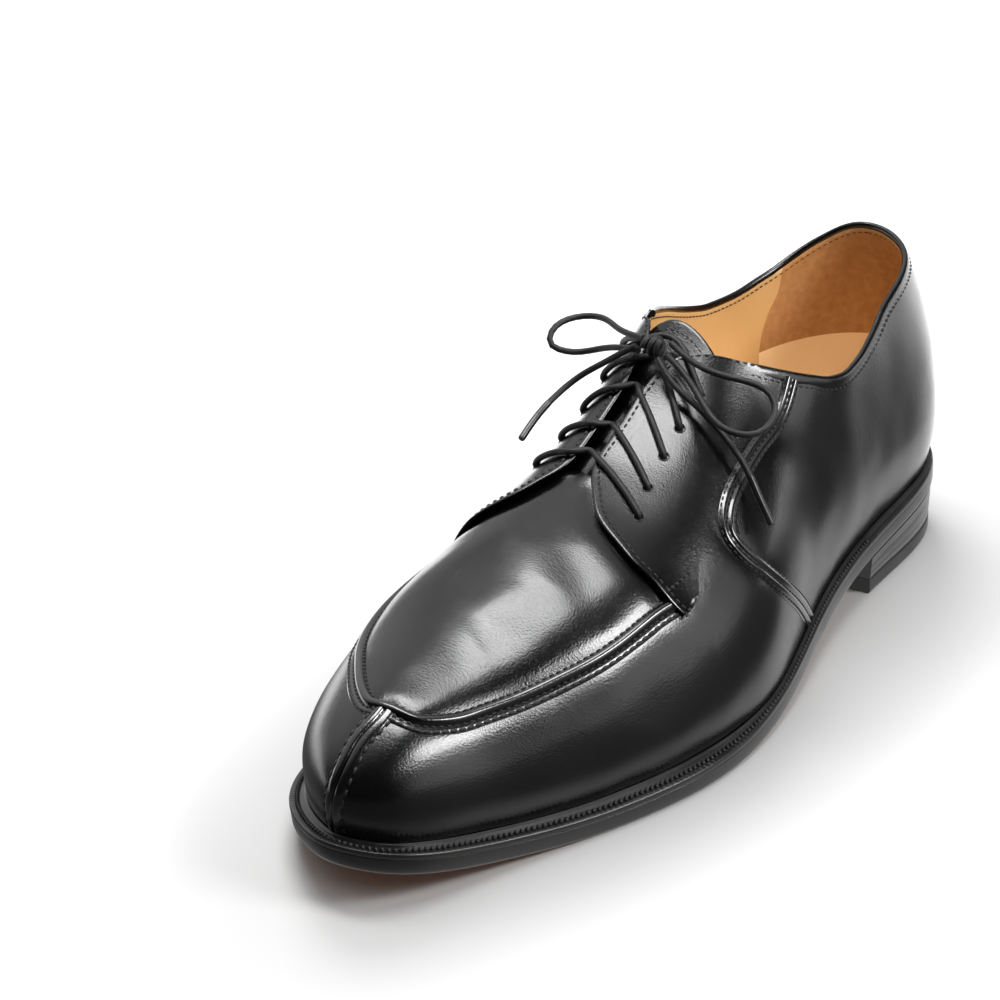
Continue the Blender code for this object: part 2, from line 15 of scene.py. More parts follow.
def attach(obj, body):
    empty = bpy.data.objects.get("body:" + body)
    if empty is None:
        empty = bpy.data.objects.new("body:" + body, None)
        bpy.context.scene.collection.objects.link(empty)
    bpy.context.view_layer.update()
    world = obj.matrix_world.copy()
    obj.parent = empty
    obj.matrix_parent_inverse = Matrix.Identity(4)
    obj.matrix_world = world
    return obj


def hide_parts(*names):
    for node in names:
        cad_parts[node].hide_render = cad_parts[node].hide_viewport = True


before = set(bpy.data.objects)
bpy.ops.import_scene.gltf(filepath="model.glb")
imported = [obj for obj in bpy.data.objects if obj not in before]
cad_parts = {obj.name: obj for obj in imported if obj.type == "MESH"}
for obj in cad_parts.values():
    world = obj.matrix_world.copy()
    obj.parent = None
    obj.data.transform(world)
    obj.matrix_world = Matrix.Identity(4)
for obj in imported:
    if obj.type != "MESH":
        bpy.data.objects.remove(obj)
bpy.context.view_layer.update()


# Outsole
# One thick cut of sole leather that follows the last's outline, with its edge inked black and
# waxed and its underside left brown. It is stitched to the welt and springs up at the toe.

MM = 0.001
CENTRE_X, CENTRE_STATION = 3.2, 148.9
LENGTH = 300.0
OUTSOLE_THICK = 5.0
WELT_THICK = 3.0
TOE_SPRING = 13.0
FLAT_BACK, FLAT_FRONT = 190.0, 225.0
BREAST = 70.0
BREAST_RISE, SEAT_RISE = 13.5, 19.0
SOLE_COLUMNS = 180

# Edge of the sole: station, lateral x, medial x
OUTLINE = np.array((
    (0, 1.5, 1.5), (8, 21.8, -17.8), (30, 33, -30), (65, 36.5, -33.5), (110, 43.5, -31),
    (150, 54, -33.5), (195, 56.5, -45.5), (230, 46, -51), (260, 33.2, -44.8), (284, 23.3, -28),
    (295, 15, -13.4), (300, 0.8, 0.8)))


def natural(xs, ys, at):
    """Natural cubic through the points."""
    step = np.diff(xs)
    count = len(xs)
    system, right = np.eye(count), np.zeros(count)
    for i in range(1, count - 1):
        system[i, i - 1:i + 2] = step[i - 1], 2 * (step[i - 1] + step[i]), step[i]
        right[i] = 6 * ((ys[i + 1] - ys[i]) / step[i] - (ys[i] - ys[i - 1]) / step[i - 1])
    bend = np.linalg.solve(system, right)
    i = np.clip(np.searchsorted(xs, at) - 1, 0, count - 2)
    t, h = at - xs[i], step[i]
    slope = (ys[i + 1] - ys[i]) / h - h * (2 * bend[i] + bend[i + 1]) / 6
    return ys[i] + t * slope + t * t * bend[i] / 2 + t ** 3 * (bend[i + 1] - bend[i]) / (6 * h)


def turn_of(station):
    """0 at the heel, pi at the toe, so that both round ends are regular."""
    return np.arccos(np.clip(1 - 2 * np.asarray(station, float) / LENGTH, -1, 1))


def station_of(turn):
    return LENGTH / 2 * (1 - np.cos(turn))


def edge(around, inset=0.0):
    """Points of the sole's edge, moved inward. Around runs 0 to pi laterally and on to 2 pi medially."""
    around = np.mod(around, 2 * pi)
    side = np.where(around <= pi, 1.0, -1.0)
    turn = np.where(around <= pi, around, 2 * pi - around)
    turns = turn_of(OUTLINE[:, 0])

    def across(at):
        return np.where(side > 0, natural(turns, OUTLINE[:, 1], at), natural(turns, OUTLINE[:, 2], at))

    delta = 1e-4
    sideways = across(turn + delta) - across(turn - delta)
    forward = station_of(turn + delta) - station_of(turn - delta)
    length = np.hypot(sideways, forward)
    return (across(turn) - side * forward / length * inset,
            station_of(turn) + side * sideways / length * inset)


def underside(station):
    """Height of the outsole's underside."""
    toe = np.clip((station - FLAT_FRONT) / (LENGTH - FLAT_FRONT), 0, None)
    waist = np.clip((FLAT_BACK - station) / (FLAT_BACK - BREAST), 0, 1)
    pitch = (SEAT_RISE - BREAST_RISE) / BREAST
    arch = BREAST_RISE * (3 * waist ** 2 - 2 * waist ** 3)
    arch = arch + pitch * (FLAT_BACK - BREAST) * (waist ** 3 - waist ** 2)
    return TOE_SPRING * toe ** 2 + arch + pitch * np.clip(BREAST - station, 0, None)


def put(points):
    """Places on the last, in millimetres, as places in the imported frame, in metres."""
    points = np.asarray(points, float)
    return np.stack((points[..., 0] - CENTRE_X, CENTRE_STATION - points[..., 1], points[..., 2]), -1) * MM


def add_piece(name, points, faces, finishes, slot, replaced=(), finish_index=None, sharp=40):
    """A mesh that rides on the shoe, with its faces turned outward."""
    mesh = bpy.data.meshes.new(name)
    mesh.from_pydata(put(points).reshape(-1, 3).tolist(), [], faces)
    for finish in finishes:
        mesh.materials.append(finish)
    if finish_index is not None:
        mesh.polygons.foreach_set("material_index", finish_index)
    solid = bmesh.new()
    solid.from_mesh(mesh)
    bmesh.ops.remove_doubles(solid, verts=solid.verts, dist=1e-6)
    bmesh.ops.recalc_face_normals(solid, faces=solid.faces)
    solid.to_mesh(mesh)
    solid.free()
    mesh.shade_smooth()
    mesh.set_sharp_from_angle(angle=radians(sharp))
    piece = bpy.data.objects.new(name, mesh)
    bpy.context.scene.collection.objects.link(piece)
    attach(piece, "root")
    if replaced:
        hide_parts(*replaced)
    return piece


def grid_faces(rows, columns, close_rows=False, close_columns=False):
    """Quads of a grid of points stored row by row."""
    faces = []
    for r in range(rows if close_rows else rows - 1):
        for c in range(columns if close_columns else columns - 1):
            n, d = (r + 1) % rows, (c + 1) % columns
            faces.append((r * columns + c, r * columns + d, n * columns + d, n * columns + c))
    return faces


def ring_ladder(columns, offset):
    """Quads across a closed ring of points, from its lateral half to its medial half."""
    faces = []
    for i in range(columns // 2):
        ring = (i, i + 1, (columns - i - 1) % columns, (columns - i) % columns)
        faces.append(tuple(dict.fromkeys(offset + k for k in ring)))
    return faces


def capped_faces(rows, columns):
    """Quads of a stack of closed rings, then of its bottom and of its top."""
    return (grid_faces(rows, columns, close_columns=True) + ring_ladder(columns, 0)
            + ring_ladder(columns, (rows - 1) * columns))


def add_node(tree, kind, inputs=(), **settings):
    """A shader node with its settings, each input joined to an output or set to a value."""
    node = tree.nodes.new("ShaderNode" + kind)
    for name, value in settings.items():
        setattr(node, name, value)
    for socket, value in dict(inputs).items():
        if isinstance(value, bpy.types.NodeSocket):
            tree.links.new(value, node.inputs[socket])
        else:
            node.inputs[socket].default_value = value
    return node


def map_range(tree, source, values, **settings):
    """A value taken from one range to another: from, to, then the two results."""
    inputs = dict(zip(("From Min", "From Max", "To Min", "To Max"), values))
    return add_node(tree, "MapRange", {"Value": source, **inputs}, **settings).outputs["Result"]


def surface_noise():
    """Group: fine grain as a height, and slow changes over the surface as a tone."""
    group = bpy.data.node_groups.new("surface_noise", "ShaderNodeTree")
    for name, value in (("Grain Scale", 1500.0), ("Tone Scale", 40.0), ("Stretch", 1.0)):
        socket = group.interface.new_socket(name, in_out="INPUT", socket_type="NodeSocketFloat")
        socket.default_value = value
    for name in ("Height", "Tone"):
        group.interface.new_socket(name, in_out="OUTPUT", socket_type="NodeSocketFloat")
    given = group.nodes.new("NodeGroupInput").outputs
    results = group.nodes.new("NodeGroupOutput").inputs
    place = add_node(group, "TexCoord").outputs["Object"]
    stretch = add_node(group, "CombineXYZ", {"X": 1.0, "Y": 1.0, "Z": given["Stretch"]}).outputs["Vector"]
    scaled = add_node(group, "VectorMath", {0: place, 1: stretch}, operation="MULTIPLY").outputs["Vector"]
    fine = add_node(group, "TexNoise", {"Vector": scaled, "Scale": given["Grain Scale"],
                                        "Detail": 3.0, "Roughness": 0.6})
    pores = add_node(group, "TexVoronoi", {"Vector": scaled, "Scale": given["Grain Scale"]})
    grain = add_node(group, "Math", {0: pores.outputs["Distance"], 1: 0.6, 2: fine.outputs["Fac"]},
                     operation="MULTIPLY_ADD")
    slow = add_node(group, "TexNoise", {"Vector": scaled, "Scale": given["Tone Scale"], "Detail": 5.0})
    group.links.new(grain.outputs["Value"], results["Height"])
    group.links.new(slow.outputs["Fac"], results["Tone"])
    return group


SURFACE_NOISE = surface_noise()
# Part of the tone over which colour and roughness change
TONE_RANGE = (0.3, 0.7)


def finish(name, dark, light, roughness, grain, tone=40.0, bump=0.1, relief=0.0002, stretch=1.0, **sockets):
    """A material whose colour and roughness drift with the tone and whose grain is a bump."""
    material = bpy.data.materials.new(name)
    material.use_nodes = True
    tree = material.node_tree
    marks = add_node(tree, "Group", {"Grain Scale": grain, "Tone Scale": tone, "Stretch": stretch},
                     node_tree=SURFACE_NOISE)
    colour = add_node(tree, "ValToRGB", {"Fac": marks.outputs["Tone"]})
    for stop, position, tint in zip(colour.color_ramp.elements, TONE_RANGE, (dark, light)):
        stop.position = position
        stop.color = (*tint, 1)
    gloss = map_range(tree, marks.outputs["Tone"], (*TONE_RANGE, *roughness))
    raised = add_node(tree, "Bump", {"Strength": bump, "Distance": relief, "Height": marks.outputs["Height"]})
    shader = tree.nodes["Principled BSDF"]
    tree.links.new(colour.outputs["Color"], shader.inputs["Base Color"])
    tree.links.new(gloss, shader.inputs["Roughness"])
    tree.links.new(raised.outputs["Normal"], shader.inputs["Normal"])
    for socket, value in sockets.items():
        shader.inputs[socket.replace("_", " ")].default_value = value
    return material


EDGE_INK = finish("edge_ink", (0.005, 0.005, 0.005), (0.010, 0.010, 0.009), (0.28, 0.42), 900, 60,
                  bump=0.12, stretch=3.0, Coat_Weight=0.15)
SOLE_LEATHER = finish("sole_leather", (0.300, 0.130, 0.065), (0.380, 0.180, 0.095), (0.40, 0.55), 700, 25,
                      bump=0.15)

around_sole = np.linspace(0, 2 * pi, 2 * SOLE_COLUMNS, endpoint=False)
# Inset and height of the outsole's edge, from the underside to the welt
OUTSOLE_EDGE = ((7.0, 0.0), (1.3, 0.0), (0.75, 0.18), (0.4, 0.6), (0.22, 1.3), (0.15, 2.6), (0.12, 4.2),
                (0.16, 4.75), (0.4, 4.97), (1.2, 5.0))


def outline_ring(inset, height):
    x, station = edge(around_sole, inset)
    return np.stack((x, station, underside(station) + height), -1)


rings = np.array([outline_ring(inset, height) for inset, height in OUTSOLE_EDGE])
ring_size = len(around_sole)
sole_faces = capped_faces(len(rings), ring_size)
cap = ring_size // 2
brown = [1] * ring_size + [0] * (len(sole_faces) - ring_size - 2 * cap) + [1] * cap + [0] * cap
add_piece("sole_leather", rings, sole_faces, (EDGE_INK, SOLE_LEATHER), "black_edge", ("outsole",), brown)


# Heel
# Lifts of leather glued and nailed in a stack, ground to one slope, inked black, and shod with
# a thin rubber top lift that takes the wear.

TOP_LIFT = 5.0
HEEL_COLUMNS = 70
HEEL_LIFTS = 3
HALF_GAP = 0.15
# Inset of the stack at its foot, what it loses up to the seat, and the rounding of both edges
STACK_FOOT, STACK_TAPER, STACK_ROUND = 2.0, 1.2, 0.35
# Depth of the joint between two lifts, and half its width as a share of the stack's height
LIFT_JOINT, JOINT_HALF = 0.05, 0.02
RUBBER = finish("top_lift_rubber", (0.010, 0.010, 0.010), (0.016, 0.016, 0.016), (0.50, 0.65), 1800, 60,
                bump=0.2)


def heel_ring(inset, height):
    """A ring round the heel, straight across the breast."""
    turns = np.linspace(0, turn_of(BREAST), HEEL_COLUMNS)
    around = np.concatenate((turns, 2 * pi - turns[:0:-1]))
    x, station = edge(around, inset)
    return np.stack((x, station, height(station)), -1)


def heel_block(name, levels, material, slot, node):
    rings = np.array([heel_ring(inset, height) for inset, height in levels])
    add_piece(name, rings, capped_faces(*rings.shape[:2]), (material,), slot, (node,))


def stack_height(share):
    foot = TOP_LIFT + HALF_GAP
    return lambda station: foot + share * (underside(station) - HALF_GAP - foot)


def level(height):
    return lambda station: np.full_like(station, height)


stack = [(STACK_FOOT + STACK_ROUND, stack_height(0.0)), (STACK_FOOT + LIFT_JOINT, stack_height(0.03))]
for lift in range(1, HEEL_LIFTS):
    share = lift / HEEL_LIFTS
    inset = STACK_FOOT - STACK_TAPER * share
    stack += [(inset, stack_height(share - JOINT_HALF)), (inset + LIFT_JOINT, stack_height(share)),
              (inset, stack_height(share + JOINT_HALF))]
seat_inset = STACK_FOOT - STACK_TAPER
stack += [(seat_inset, stack_height(0.97)), (seat_inset + STACK_ROUND, stack_height(1.0))]
heel_block("heel_lifts", stack, EDGE_INK, "black_edge", "heel_stack")
# Inset and height of the top lift, from the floor up
TOP_LIFT_EDGE = ((2.9, 0.0), (2.45, 0.25), (2.2, 0.9), (2.0, 4.6), (2.3, 4.95))
heel_block("top_lift", [(inset, level(height)) for inset, height in TOP_LIFT_EDGE], RUBBER, "black_rubber",
           "heel_top_lift")


# Welt
# A strip of leather sewn to the upper all round and stitched down through the outsole, with its
# stitches pressed apart by a hot wheel and a fine bead left against the upper.

WELT_COLUMNS = 1100
WELT_TOP = OUTSOLE_THICK + WELT_THICK
WHEEL_PITCH, WHEEL_DEPTH, WHEEL_SHARPNESS = 1.8, 0.42, 0.7
# Stations where the wheel's marks begin and where they are at their deepest
WHEEL_BEGIN, WHEEL_FULL = 66, 80
# Relief above this height is lower on a narrow ledge and whole on a broad one
RELIEF_FLOOR, NARROW_RELIEF = 7.0, 0.55
NARROW_LEDGE, BROAD_LEDGE = 1.6, 4.0
# Ledge of welt outside the upper: station, width
LEDGE = np.array(((0, 1.4), (60, 3.0), (110, 2.6), (150, 2.2), (200, 5.6), (300, 5.5)))
# Share of the ledge, height above the outsole's underside, share of the wheel's marks
WELT_PROFILE = (
    (0.02, 5.05, 0), (0.0, 5.3, 0), (0.0, 6.2, 0), (0.02, 6.6, 0.1), (0.06, 6.85, 0.4), (0.12, 7.0, 0.9),
    (0.20, 7.08, 1.0), (0.30, 7.1, 1.0), (0.40, 7.16, 1.0), (0.50, 7.3, 0.7), (0.60, 7.55, 0.2),
    (0.70, 7.78, 0), (0.79, 7.9, 0), (0.84, 8.15, 0), (0.90, 8.4, 0), (0.97, 8.45, 0), (1.04, 8.2, 0),
    (1.25, 8.0, 0), (1.25, 5.05, 0))


def steady(table, column, at):
    """Monotone cubic through a table's rows, with no overshoot."""
    xs, ys = table[:, 0], table[:, column]
    step = np.diff(xs)
    rate = np.diff(ys) / step
    slope = np.zeros(len(xs))
    slope[0], slope[-1] = rate[0], rate[-1]
    for i in range(1, len(xs) - 1):
        if rate[i - 1] * rate[i] > 0:
            near, far = 2 * step[i] + step[i - 1], step[i] + 2 * step[i - 1]
            slope[i] = (near + far) / (near / rate[i - 1] + far / rate[i])
    at = np.clip(at, xs[0], xs[-1])
    i = np.clip(np.searchsorted(xs, at) - 1, 0, len(xs) - 2)
    t, h = (at - xs[i]) / step[i], step[i]
    return ((1 + 2 * t) * (1 - t) ** 2 * ys[i] + t * (1 - t) ** 2 * h * slope[i]
            + t * t * (3 - 2 * t) * ys[i + 1] + t * t * (t - 1) * h * slope[i + 1])


def ease(start, end, value):
    """0 before start, 1 after end, a smooth step between."""
    t = np.clip((value - start) / (end - start), 0.0, 1.0)
    return t * t * (3 - 2 * t)


def even_around(count):
    """Turns round the whole outline, evenly spaced along it."""
    dense = np.linspace(0, 2 * pi, 6000)
    x, station = edge(dense)
    way = np.concatenate(([0], np.cumsum(np.hypot(np.diff(x), np.diff(station)))))
    at = np.linspace(0, way[-1], count, endpoint=False)
    return np.interp(at, way, dense), at


def outer_station(around):
    """Station of the sole's edge at a turn, on either side."""
    around = np.mod(around, 2 * pi)
    return station_of(np.where(around <= pi, around, 2 * pi - around))


welt_around, welt_way = even_around(WELT_COLUMNS)
welt_station = outer_station(welt_around)
welt_ledge = steady(LEDGE, 1, welt_station)
marked = ease(WHEEL_BEGIN, WHEEL_FULL, welt_station)
wheel = np.abs(np.sin(pi * welt_way / WHEEL_PITCH)) ** WHEEL_SHARPNESS * marked
relief_share = NARROW_RELIEF + (1 - NARROW_RELIEF) * ease(NARROW_LEDGE, BROAD_LEDGE, welt_ledge)
welt_rings = []
for share, height, marks in WELT_PROFILE:
    x, station = edge(welt_around, share * welt_ledge)
    relief = (height - WELT_TOP) * (relief_share if height > RELIEF_FLOOR else 1.0)
    z = underside(station) + WELT_TOP + relief - WHEEL_DEPTH * marks * (1 - wheel) * marked
    welt_rings.append(np.stack((x, station, z), -1))
add_piece("welt_strip", np.array(welt_rings),
          grid_faces(len(WELT_PROFILE), WELT_COLUMNS, close_rows=True, close_columns=True),
          (EDGE_INK,), "black_edge", ("welt",), sharp=70)


# Upper
# Black calf, cut in panels, closed, lasted over the form and polished. The wall follows the last
# from the welt to the collar, the throat and the ridge, with the soft creases of handling.

UPPER_COLUMNS = 220
FOOT_ROWS, ARCH_ROWS = 18, 58
THROAT_TOP, VAMP_BACK = 114.0, 184.0
# How far the wall ends under the collar's edge and under the facings, and the stations between
UNDER_COLLAR, UNDER_FACING = 3.0, 16.0
UNDER_BEGIN, UNDER_FULL = 122, 150
CALF_THICK = 1.1
PIECE_GAP = 0.3
# Foot of each section and the middle line it closes on: outline station, middle station, middle x
MIDDLE = np.array((
    (0, 40, -3), (40, 50, -3), (80, 80, -3), (110, 109, -3.5), (150, 141, -3.5), (190, 174, -3.5),
    (215, 203, -3.4), (255, 237, -3), (300, 250, -2.5)))
# Station, lateral swell, medial swell, height of the widest place, lateral and medial fullness
SECTION = np.array((
    (0, 3.6, 3.4, 20, 1.95, 1.95), (40, 3.0, 3.2, 20.5, 1.90, 1.90), (80, 3.2, 3.0, 20, 2.05, 2.05),
    (120, 0.8, 3.8, 18.5, 1.80, 2.20), (160, 1.5, 1.6, 14, 1.90, 2.10), (200, 1.5, 1.2, 12, 2.05, 2.15),
    (240, 1.5, 0.4, 10, 2.00, 2.00), (270, 1.2, 0.2, 10.3, 1.90, 1.90), (300, 1.4, 1.4, 10.5, 1.90, 1.90)))
# Middle station, height of the ridge
RIDGE = np.array((
    (40, 132), (58, 137), (78, 143), (95, 124), (115, 108), (145, 88), (172, 76), (195, 70.5),
    (215, 65.5), (235, 58), (250, 52.5)))
# Outline station, lateral and medial height of the collar
COLLAR = np.array((
    (0, 101.5, 101.5), (8, 98.8, 96), (30, 94.4, 86.8), (45, 91.1, 84.8), (60, 85.4, 86), (70, 82.7, 88.7),
    (79, 81.9, 92), (88, 83.2, 95.8), (95, 85.9, 98.6), (105, 90.6, 102.4), (114, 95.2, 106)))
# Outline station, lateral and medial distance of the facings from the ridge
THROAT = np.array((
    (114, 25.2, 13.5), (117, 22.7, 10.3), (121, 18.6, 6.9), (126, 13.2, 4.6), (130, 9.4, 3.4),
    (135, 6.4, 3.1), (142, 4.4, 3.0), (150, 3.3, 2.9), (195, 4.0, 4.0)))


def by_side(table, around, lateral=1, medial=2):
    """Lateral or medial column of a table at each place."""
    outer = outer_station(around)
    on_lateral = np.mod(around, 2 * pi) <= pi
    return np.where(on_lateral, steady(table, lateral, outer), steady(table, medial, outer))


def section(around):
    """Middle, outward way and radius of each section, its swell, the heights of its foot, its widest
    place and its ridge, and its fullness."""
    outer = outer_station(around)
    x, station = edge(around, steady(LEDGE, 1, outer))
    middle, middle_x = steady(MIDDLE, 1, outer), steady(MIDDLE, 2, outer)
    radius = np.hypot(x - middle_x, station - middle)
    base = underside(station) + OUTSOLE_THICK + WELT_THICK + PIECE_GAP
    wide = base + steady(SECTION, 3, outer)
    return (middle_x, middle, (x - middle_x) / radius, (station - middle) / radius, radius,
            by_side(SECTION, around), base, wide, steady(RIDGE, 1, middle), by_side(SECTION, around, 4, 5))


def sections_closed(around, rise):
    """Points of the last before its crown is faired."""
    middle_x, middle, out_x, out_station, radius, swell, base, wide, ridge, fullness = section(around)
    low, angle = np.clip(rise, 0, 1), np.clip(rise - 1, 0, 1) * pi / 2
    out = np.where(rise <= 1, radius + swell * np.sin(pi / 2 * low),
                   (radius + swell) * np.clip(np.cos(angle), 0, None) ** (2 / fullness))
    z = np.where(rise <= 1, base + (wide - base) * rise,
                 wide + (ridge - wide) * np.sin(angle) ** (2 / fullness))
    return np.stack(np.broadcast_arrays(middle_x + out_x * out, middle + out_station * out, z), -1)


# Line on which the front sections close, and the scale of the smooth height over it
CROWN_BACK, CROWN_FRONT, CROWN_X = 214.0, 250.0, -3.0
CROWN_MIDDLE = (CROWN_BACK + CROWN_FRONT) / 2
CROWN_ACROSS, CROWN_ALONG, CROWN_TERMS = 30, 40, 5
# Distances from the line: the sections that are fitted, and where the fit takes over from them
CROWN_FIT, CROWN_BLEND = (9, 34), (6.0, 22.0)
CROWN_FROM = 190


def crown_terms(points):
    """Powers of the place over the crown, up to the fourth."""
    u, v = (points[..., 0] - CROWN_X) / CROWN_ACROSS, (points[..., 1] - CROWN_MIDDLE) / CROWN_ALONG
    powers = range(CROWN_TERMS)
    return np.stack([u ** i * v ** j for i in powers for j in powers if i + j < CROWN_TERMS], -1)


def from_crown(points):
    """Distance from the line on which the front sections close."""
    along = points[..., 1] - np.clip(points[..., 1], CROWN_BACK, CROWN_FRONT)
    return np.hypot(points[..., 0] - CROWN_X, along)


def fair_crown():
    """Smooth height over the apron, fitted to the sections round the line where they close."""
    around = np.linspace(turn_of(CROWN_FROM), 2 * pi - turn_of(CROWN_FROM), 160)
    grid = np.meshgrid(around, np.linspace(1.3, 1.97, 50))
    points = sections_closed(*grid).reshape(-1, 3)
    away = from_crown(points)
    points = points[(away > CROWN_FIT[0]) & (away < CROWN_FIT[1])]
    return np.linalg.lstsq(crown_terms(points), points[:, 2], rcond=None)[0]


CROWN = fair_crown()


def last(around, rise):
    """Points of the last. The rise counts 0 to 1 up to the widest place and 1 to 2 up to the ridge."""
    points = sections_closed(around, rise)
    share = 1 - ease(*CROWN_BLEND, from_crown(points))
    share = share * (np.broadcast_to(rise, share.shape) > 1.2)
    points[..., 2] += (crown_terms(points) @ CROWN - points[..., 2]) * share
    return points


def slopes(around, rise):
    """How the surface moves with around and with rise."""
    rise = np.clip(rise, 0.01, 1.985)
    delta = 0.003
    return ((last(around + delta, rise) - last(around - delta, rise)) / (2 * delta),
            (last(around, rise + delta) - last(around, rise - delta)) / (2 * delta))


def unit(vectors):
    return vectors / np.maximum(np.linalg.norm(vectors, axis=-1, keepdims=True), 1e-9)


def outward(around, rise):
    along, up = slopes(around, rise)
    return unit(np.cross(along, up))


def surface(around, rise, lift=0.0):
    """Points of the last moved out along its normal."""
    around, rise, lift = np.broadcast_arrays(np.asarray(around, float), rise, lift)
    return last(around, rise) + outward(around, rise) * lift[..., None]


def rise_at_distance(around, distance):
    _, _, _, _, radius, swell, _, _, _, fullness = section(around)
    share = np.clip(distance / (radius + swell), 0, 1)
    return 1 + np.arccos(share ** (fullness / 2)) / (pi / 2)


def rise_at_height(around, height):
    _, _, _, _, _, _, base, wide, ridge, fullness = section(around)
    share = np.clip((height - wide) / (ridge - wide), 0, 1)
    return np.where(height < wide, (height - base) / (wide - base),
                    1 + np.arcsin(share ** (fullness / 2)) / (pi / 2))


def top_line(around, below=0.0, back=0.0):
    """Rise of the collar's edge and of the facings' edges, or of a line below and behind them."""
    collar = rise_at_height(around, by_side(COLLAR, around) - below)
    throat = rise_at_distance(around, by_side(THROAT, around) + back)
    return np.where(outer_station(around) < THROAT_TOP, np.minimum(collar, 1.9), throat)


def wall_top(around, below=0.0):
    """Rise where the wall ends: under the collar's edge, under the facings, or on the ridge."""
    outer = outer_station(around)
    under = UNDER_COLLAR + (UNDER_FACING - UNDER_COLLAR) * ease(UNDER_BEGIN, UNDER_FULL, outer)
    return np.where(outer > VAMP_BACK, 2.0, top_line(around, below, under + below))


def at(side, stations):
    """Around for stations of one side: 1 lateral, -1 medial."""
    turn = turn_of(stations)
    return turn if side > 0 else 2 * pi - turn


def settle(around, rise, targets, rounds=5):
    """Moves places on the last until they lie under the targets."""
    for _ in range(rounds):
        miss = targets - last(around, rise)
        by_around, by_rise = slopes(around, rise)
        g11 = (by_around * by_around).sum(-1)
        g12 = (by_around * by_rise).sum(-1)
        g22 = (by_rise * by_rise).sum(-1)
        b1, b2 = (by_around * miss).sum(-1), (by_rise * miss).sum(-1)
        scale = g11 * g22 - g12 ** 2
        around = around + (b1 * g22 - b2 * g12) / scale
        rise = np.clip(rise + (g11 * b2 - g12 * b1) / scale, 0, 2)
    return around, rise


def way_along(points):
    """Length of a path up to each of its points."""
    return np.concatenate(([0], np.cumsum(np.linalg.norm(np.diff(points, axis=0), axis=1))))


def smooth_route(rows, count):
    """Even points along a smooth curve through points in space."""
    rows = np.array(rows, float)
    way = way_along(rows)
    dense = np.stack([natural(way, rows[:, k], np.linspace(0, way[-1], 1500)) for k in range(3)], -1)
    length = way_along(dense)
    even = np.linspace(0, length[-1], count)
    return np.stack([np.interp(even, length, dense[:, k]) for k in range(3)], -1)


def line_through(rows, count=240):
    """Smooth path on the last through rows of (around, rise), evenly spaced on the surface."""
    rows = np.array(rows, float)
    spots = last(rows[:, 0], rows[:, 1])
    way = way_along(spots)
    even = np.linspace(0, way[-1], count)
    around, rise = np.interp(even, way, rows[:, 0]), np.interp(even, way, rows[:, 1])
    return settle(around, rise, smooth_route(spots, count))


def side_line(side, rows, count=240):
    return line_through([(at(side, station), rise) for station, rise in rows], count)


# Lines of the seams, as outline station and rise
APRON_LATERAL = ((193, 1.406), (199, 1.413), (208, 1.412), (222, 1.406), (236, 1.423), (248, 1.440),
                 (261, 1.456), (269, 1.466), (277, 1.495), (285, 1.538), (294, 1.615), (299, 1.655))
APRON_MEDIAL = ((299, 1.653), (293, 1.640), (283, 1.632), (272, 1.610), (255, 1.550), (230, 1.450),
                (208, 1.425), (193, 1.415))
# Front edge of the facings after the throat
FACING_FRONT = (
    (187, 1.925), (191, 1.883), (194.4, 1.841), (197, 1.774), (198, 1.680), (198, 1.600), (196.4, 1.515),
    (195.3, 1.450), (193.6, 1.385), (191.6, 1.352), (188.5, 1.352), (185.9, 1.368))
FACING_ALONG = 170
# Split of the toe: rise, around
TOE_SPLIT = ((1.655, 3.005), (1.57, 3.045), (1.47, 3.100), (1.35, 3.118), (1.22, 3.133), (1.06, 3.165),
             (0.62, 3.200), (0.03, 3.215))
# Seam of the quarters: outline station, lateral height, medial height
QUARTER = (
    (103.6, 87.6, 99.2), (109, 82.8, 91.5), (116, 78.8, 85.0), (126.4, 76.5, 80.0), (136.3, 74.1, 75.8),
    (145.2, 71.4, 72.0), (153, 68.4, 68.4), (158, 65.3, 65.3), (160.6, 61.9, 61.9), (159.7, 57.6, 57.6),
    (155.3, 51.7, 51.7), (148, 44.0, 44.0), (138, 34.5, 34.5), (127.4, 24.5, 24.5), (120.2, 16.8, 16.8))
apron_line = line_through([(at(1, s), r) for s, r in APRON_LATERAL] + [(pi, 1.660)]
                          + [(at(-1, s), r) for s, r in APRON_MEDIAL], 420)
toe_line = line_through([(around, rise) for rise, around in TOE_SPLIT], 90)
quarter_lines = {}
for side, column in ((1, 1), (-1, 2)):
    quarter_lines[side] = line_through([(at(side, row[0]), rise_at_height(at(side, row[0]), row[column]))
                                        for row in QUARTER])
# Outline stations of the facings' edges along the throat
THROAT_EDGE = (114.1, 116.0, 118.5, 122.0, 126.0, 131.0, 140.0, 150.0, 160.0, 170.0, 179.0)


def facing_edge(side):
    """Free edge of a facing, from the collar down the throat and round its front."""
    throat = [(s, float(top_line(at(side, s)))) for s in THROAT_EDGE]
    return side_line(side, throat + list(FACING_FRONT), FACING_ALONG)


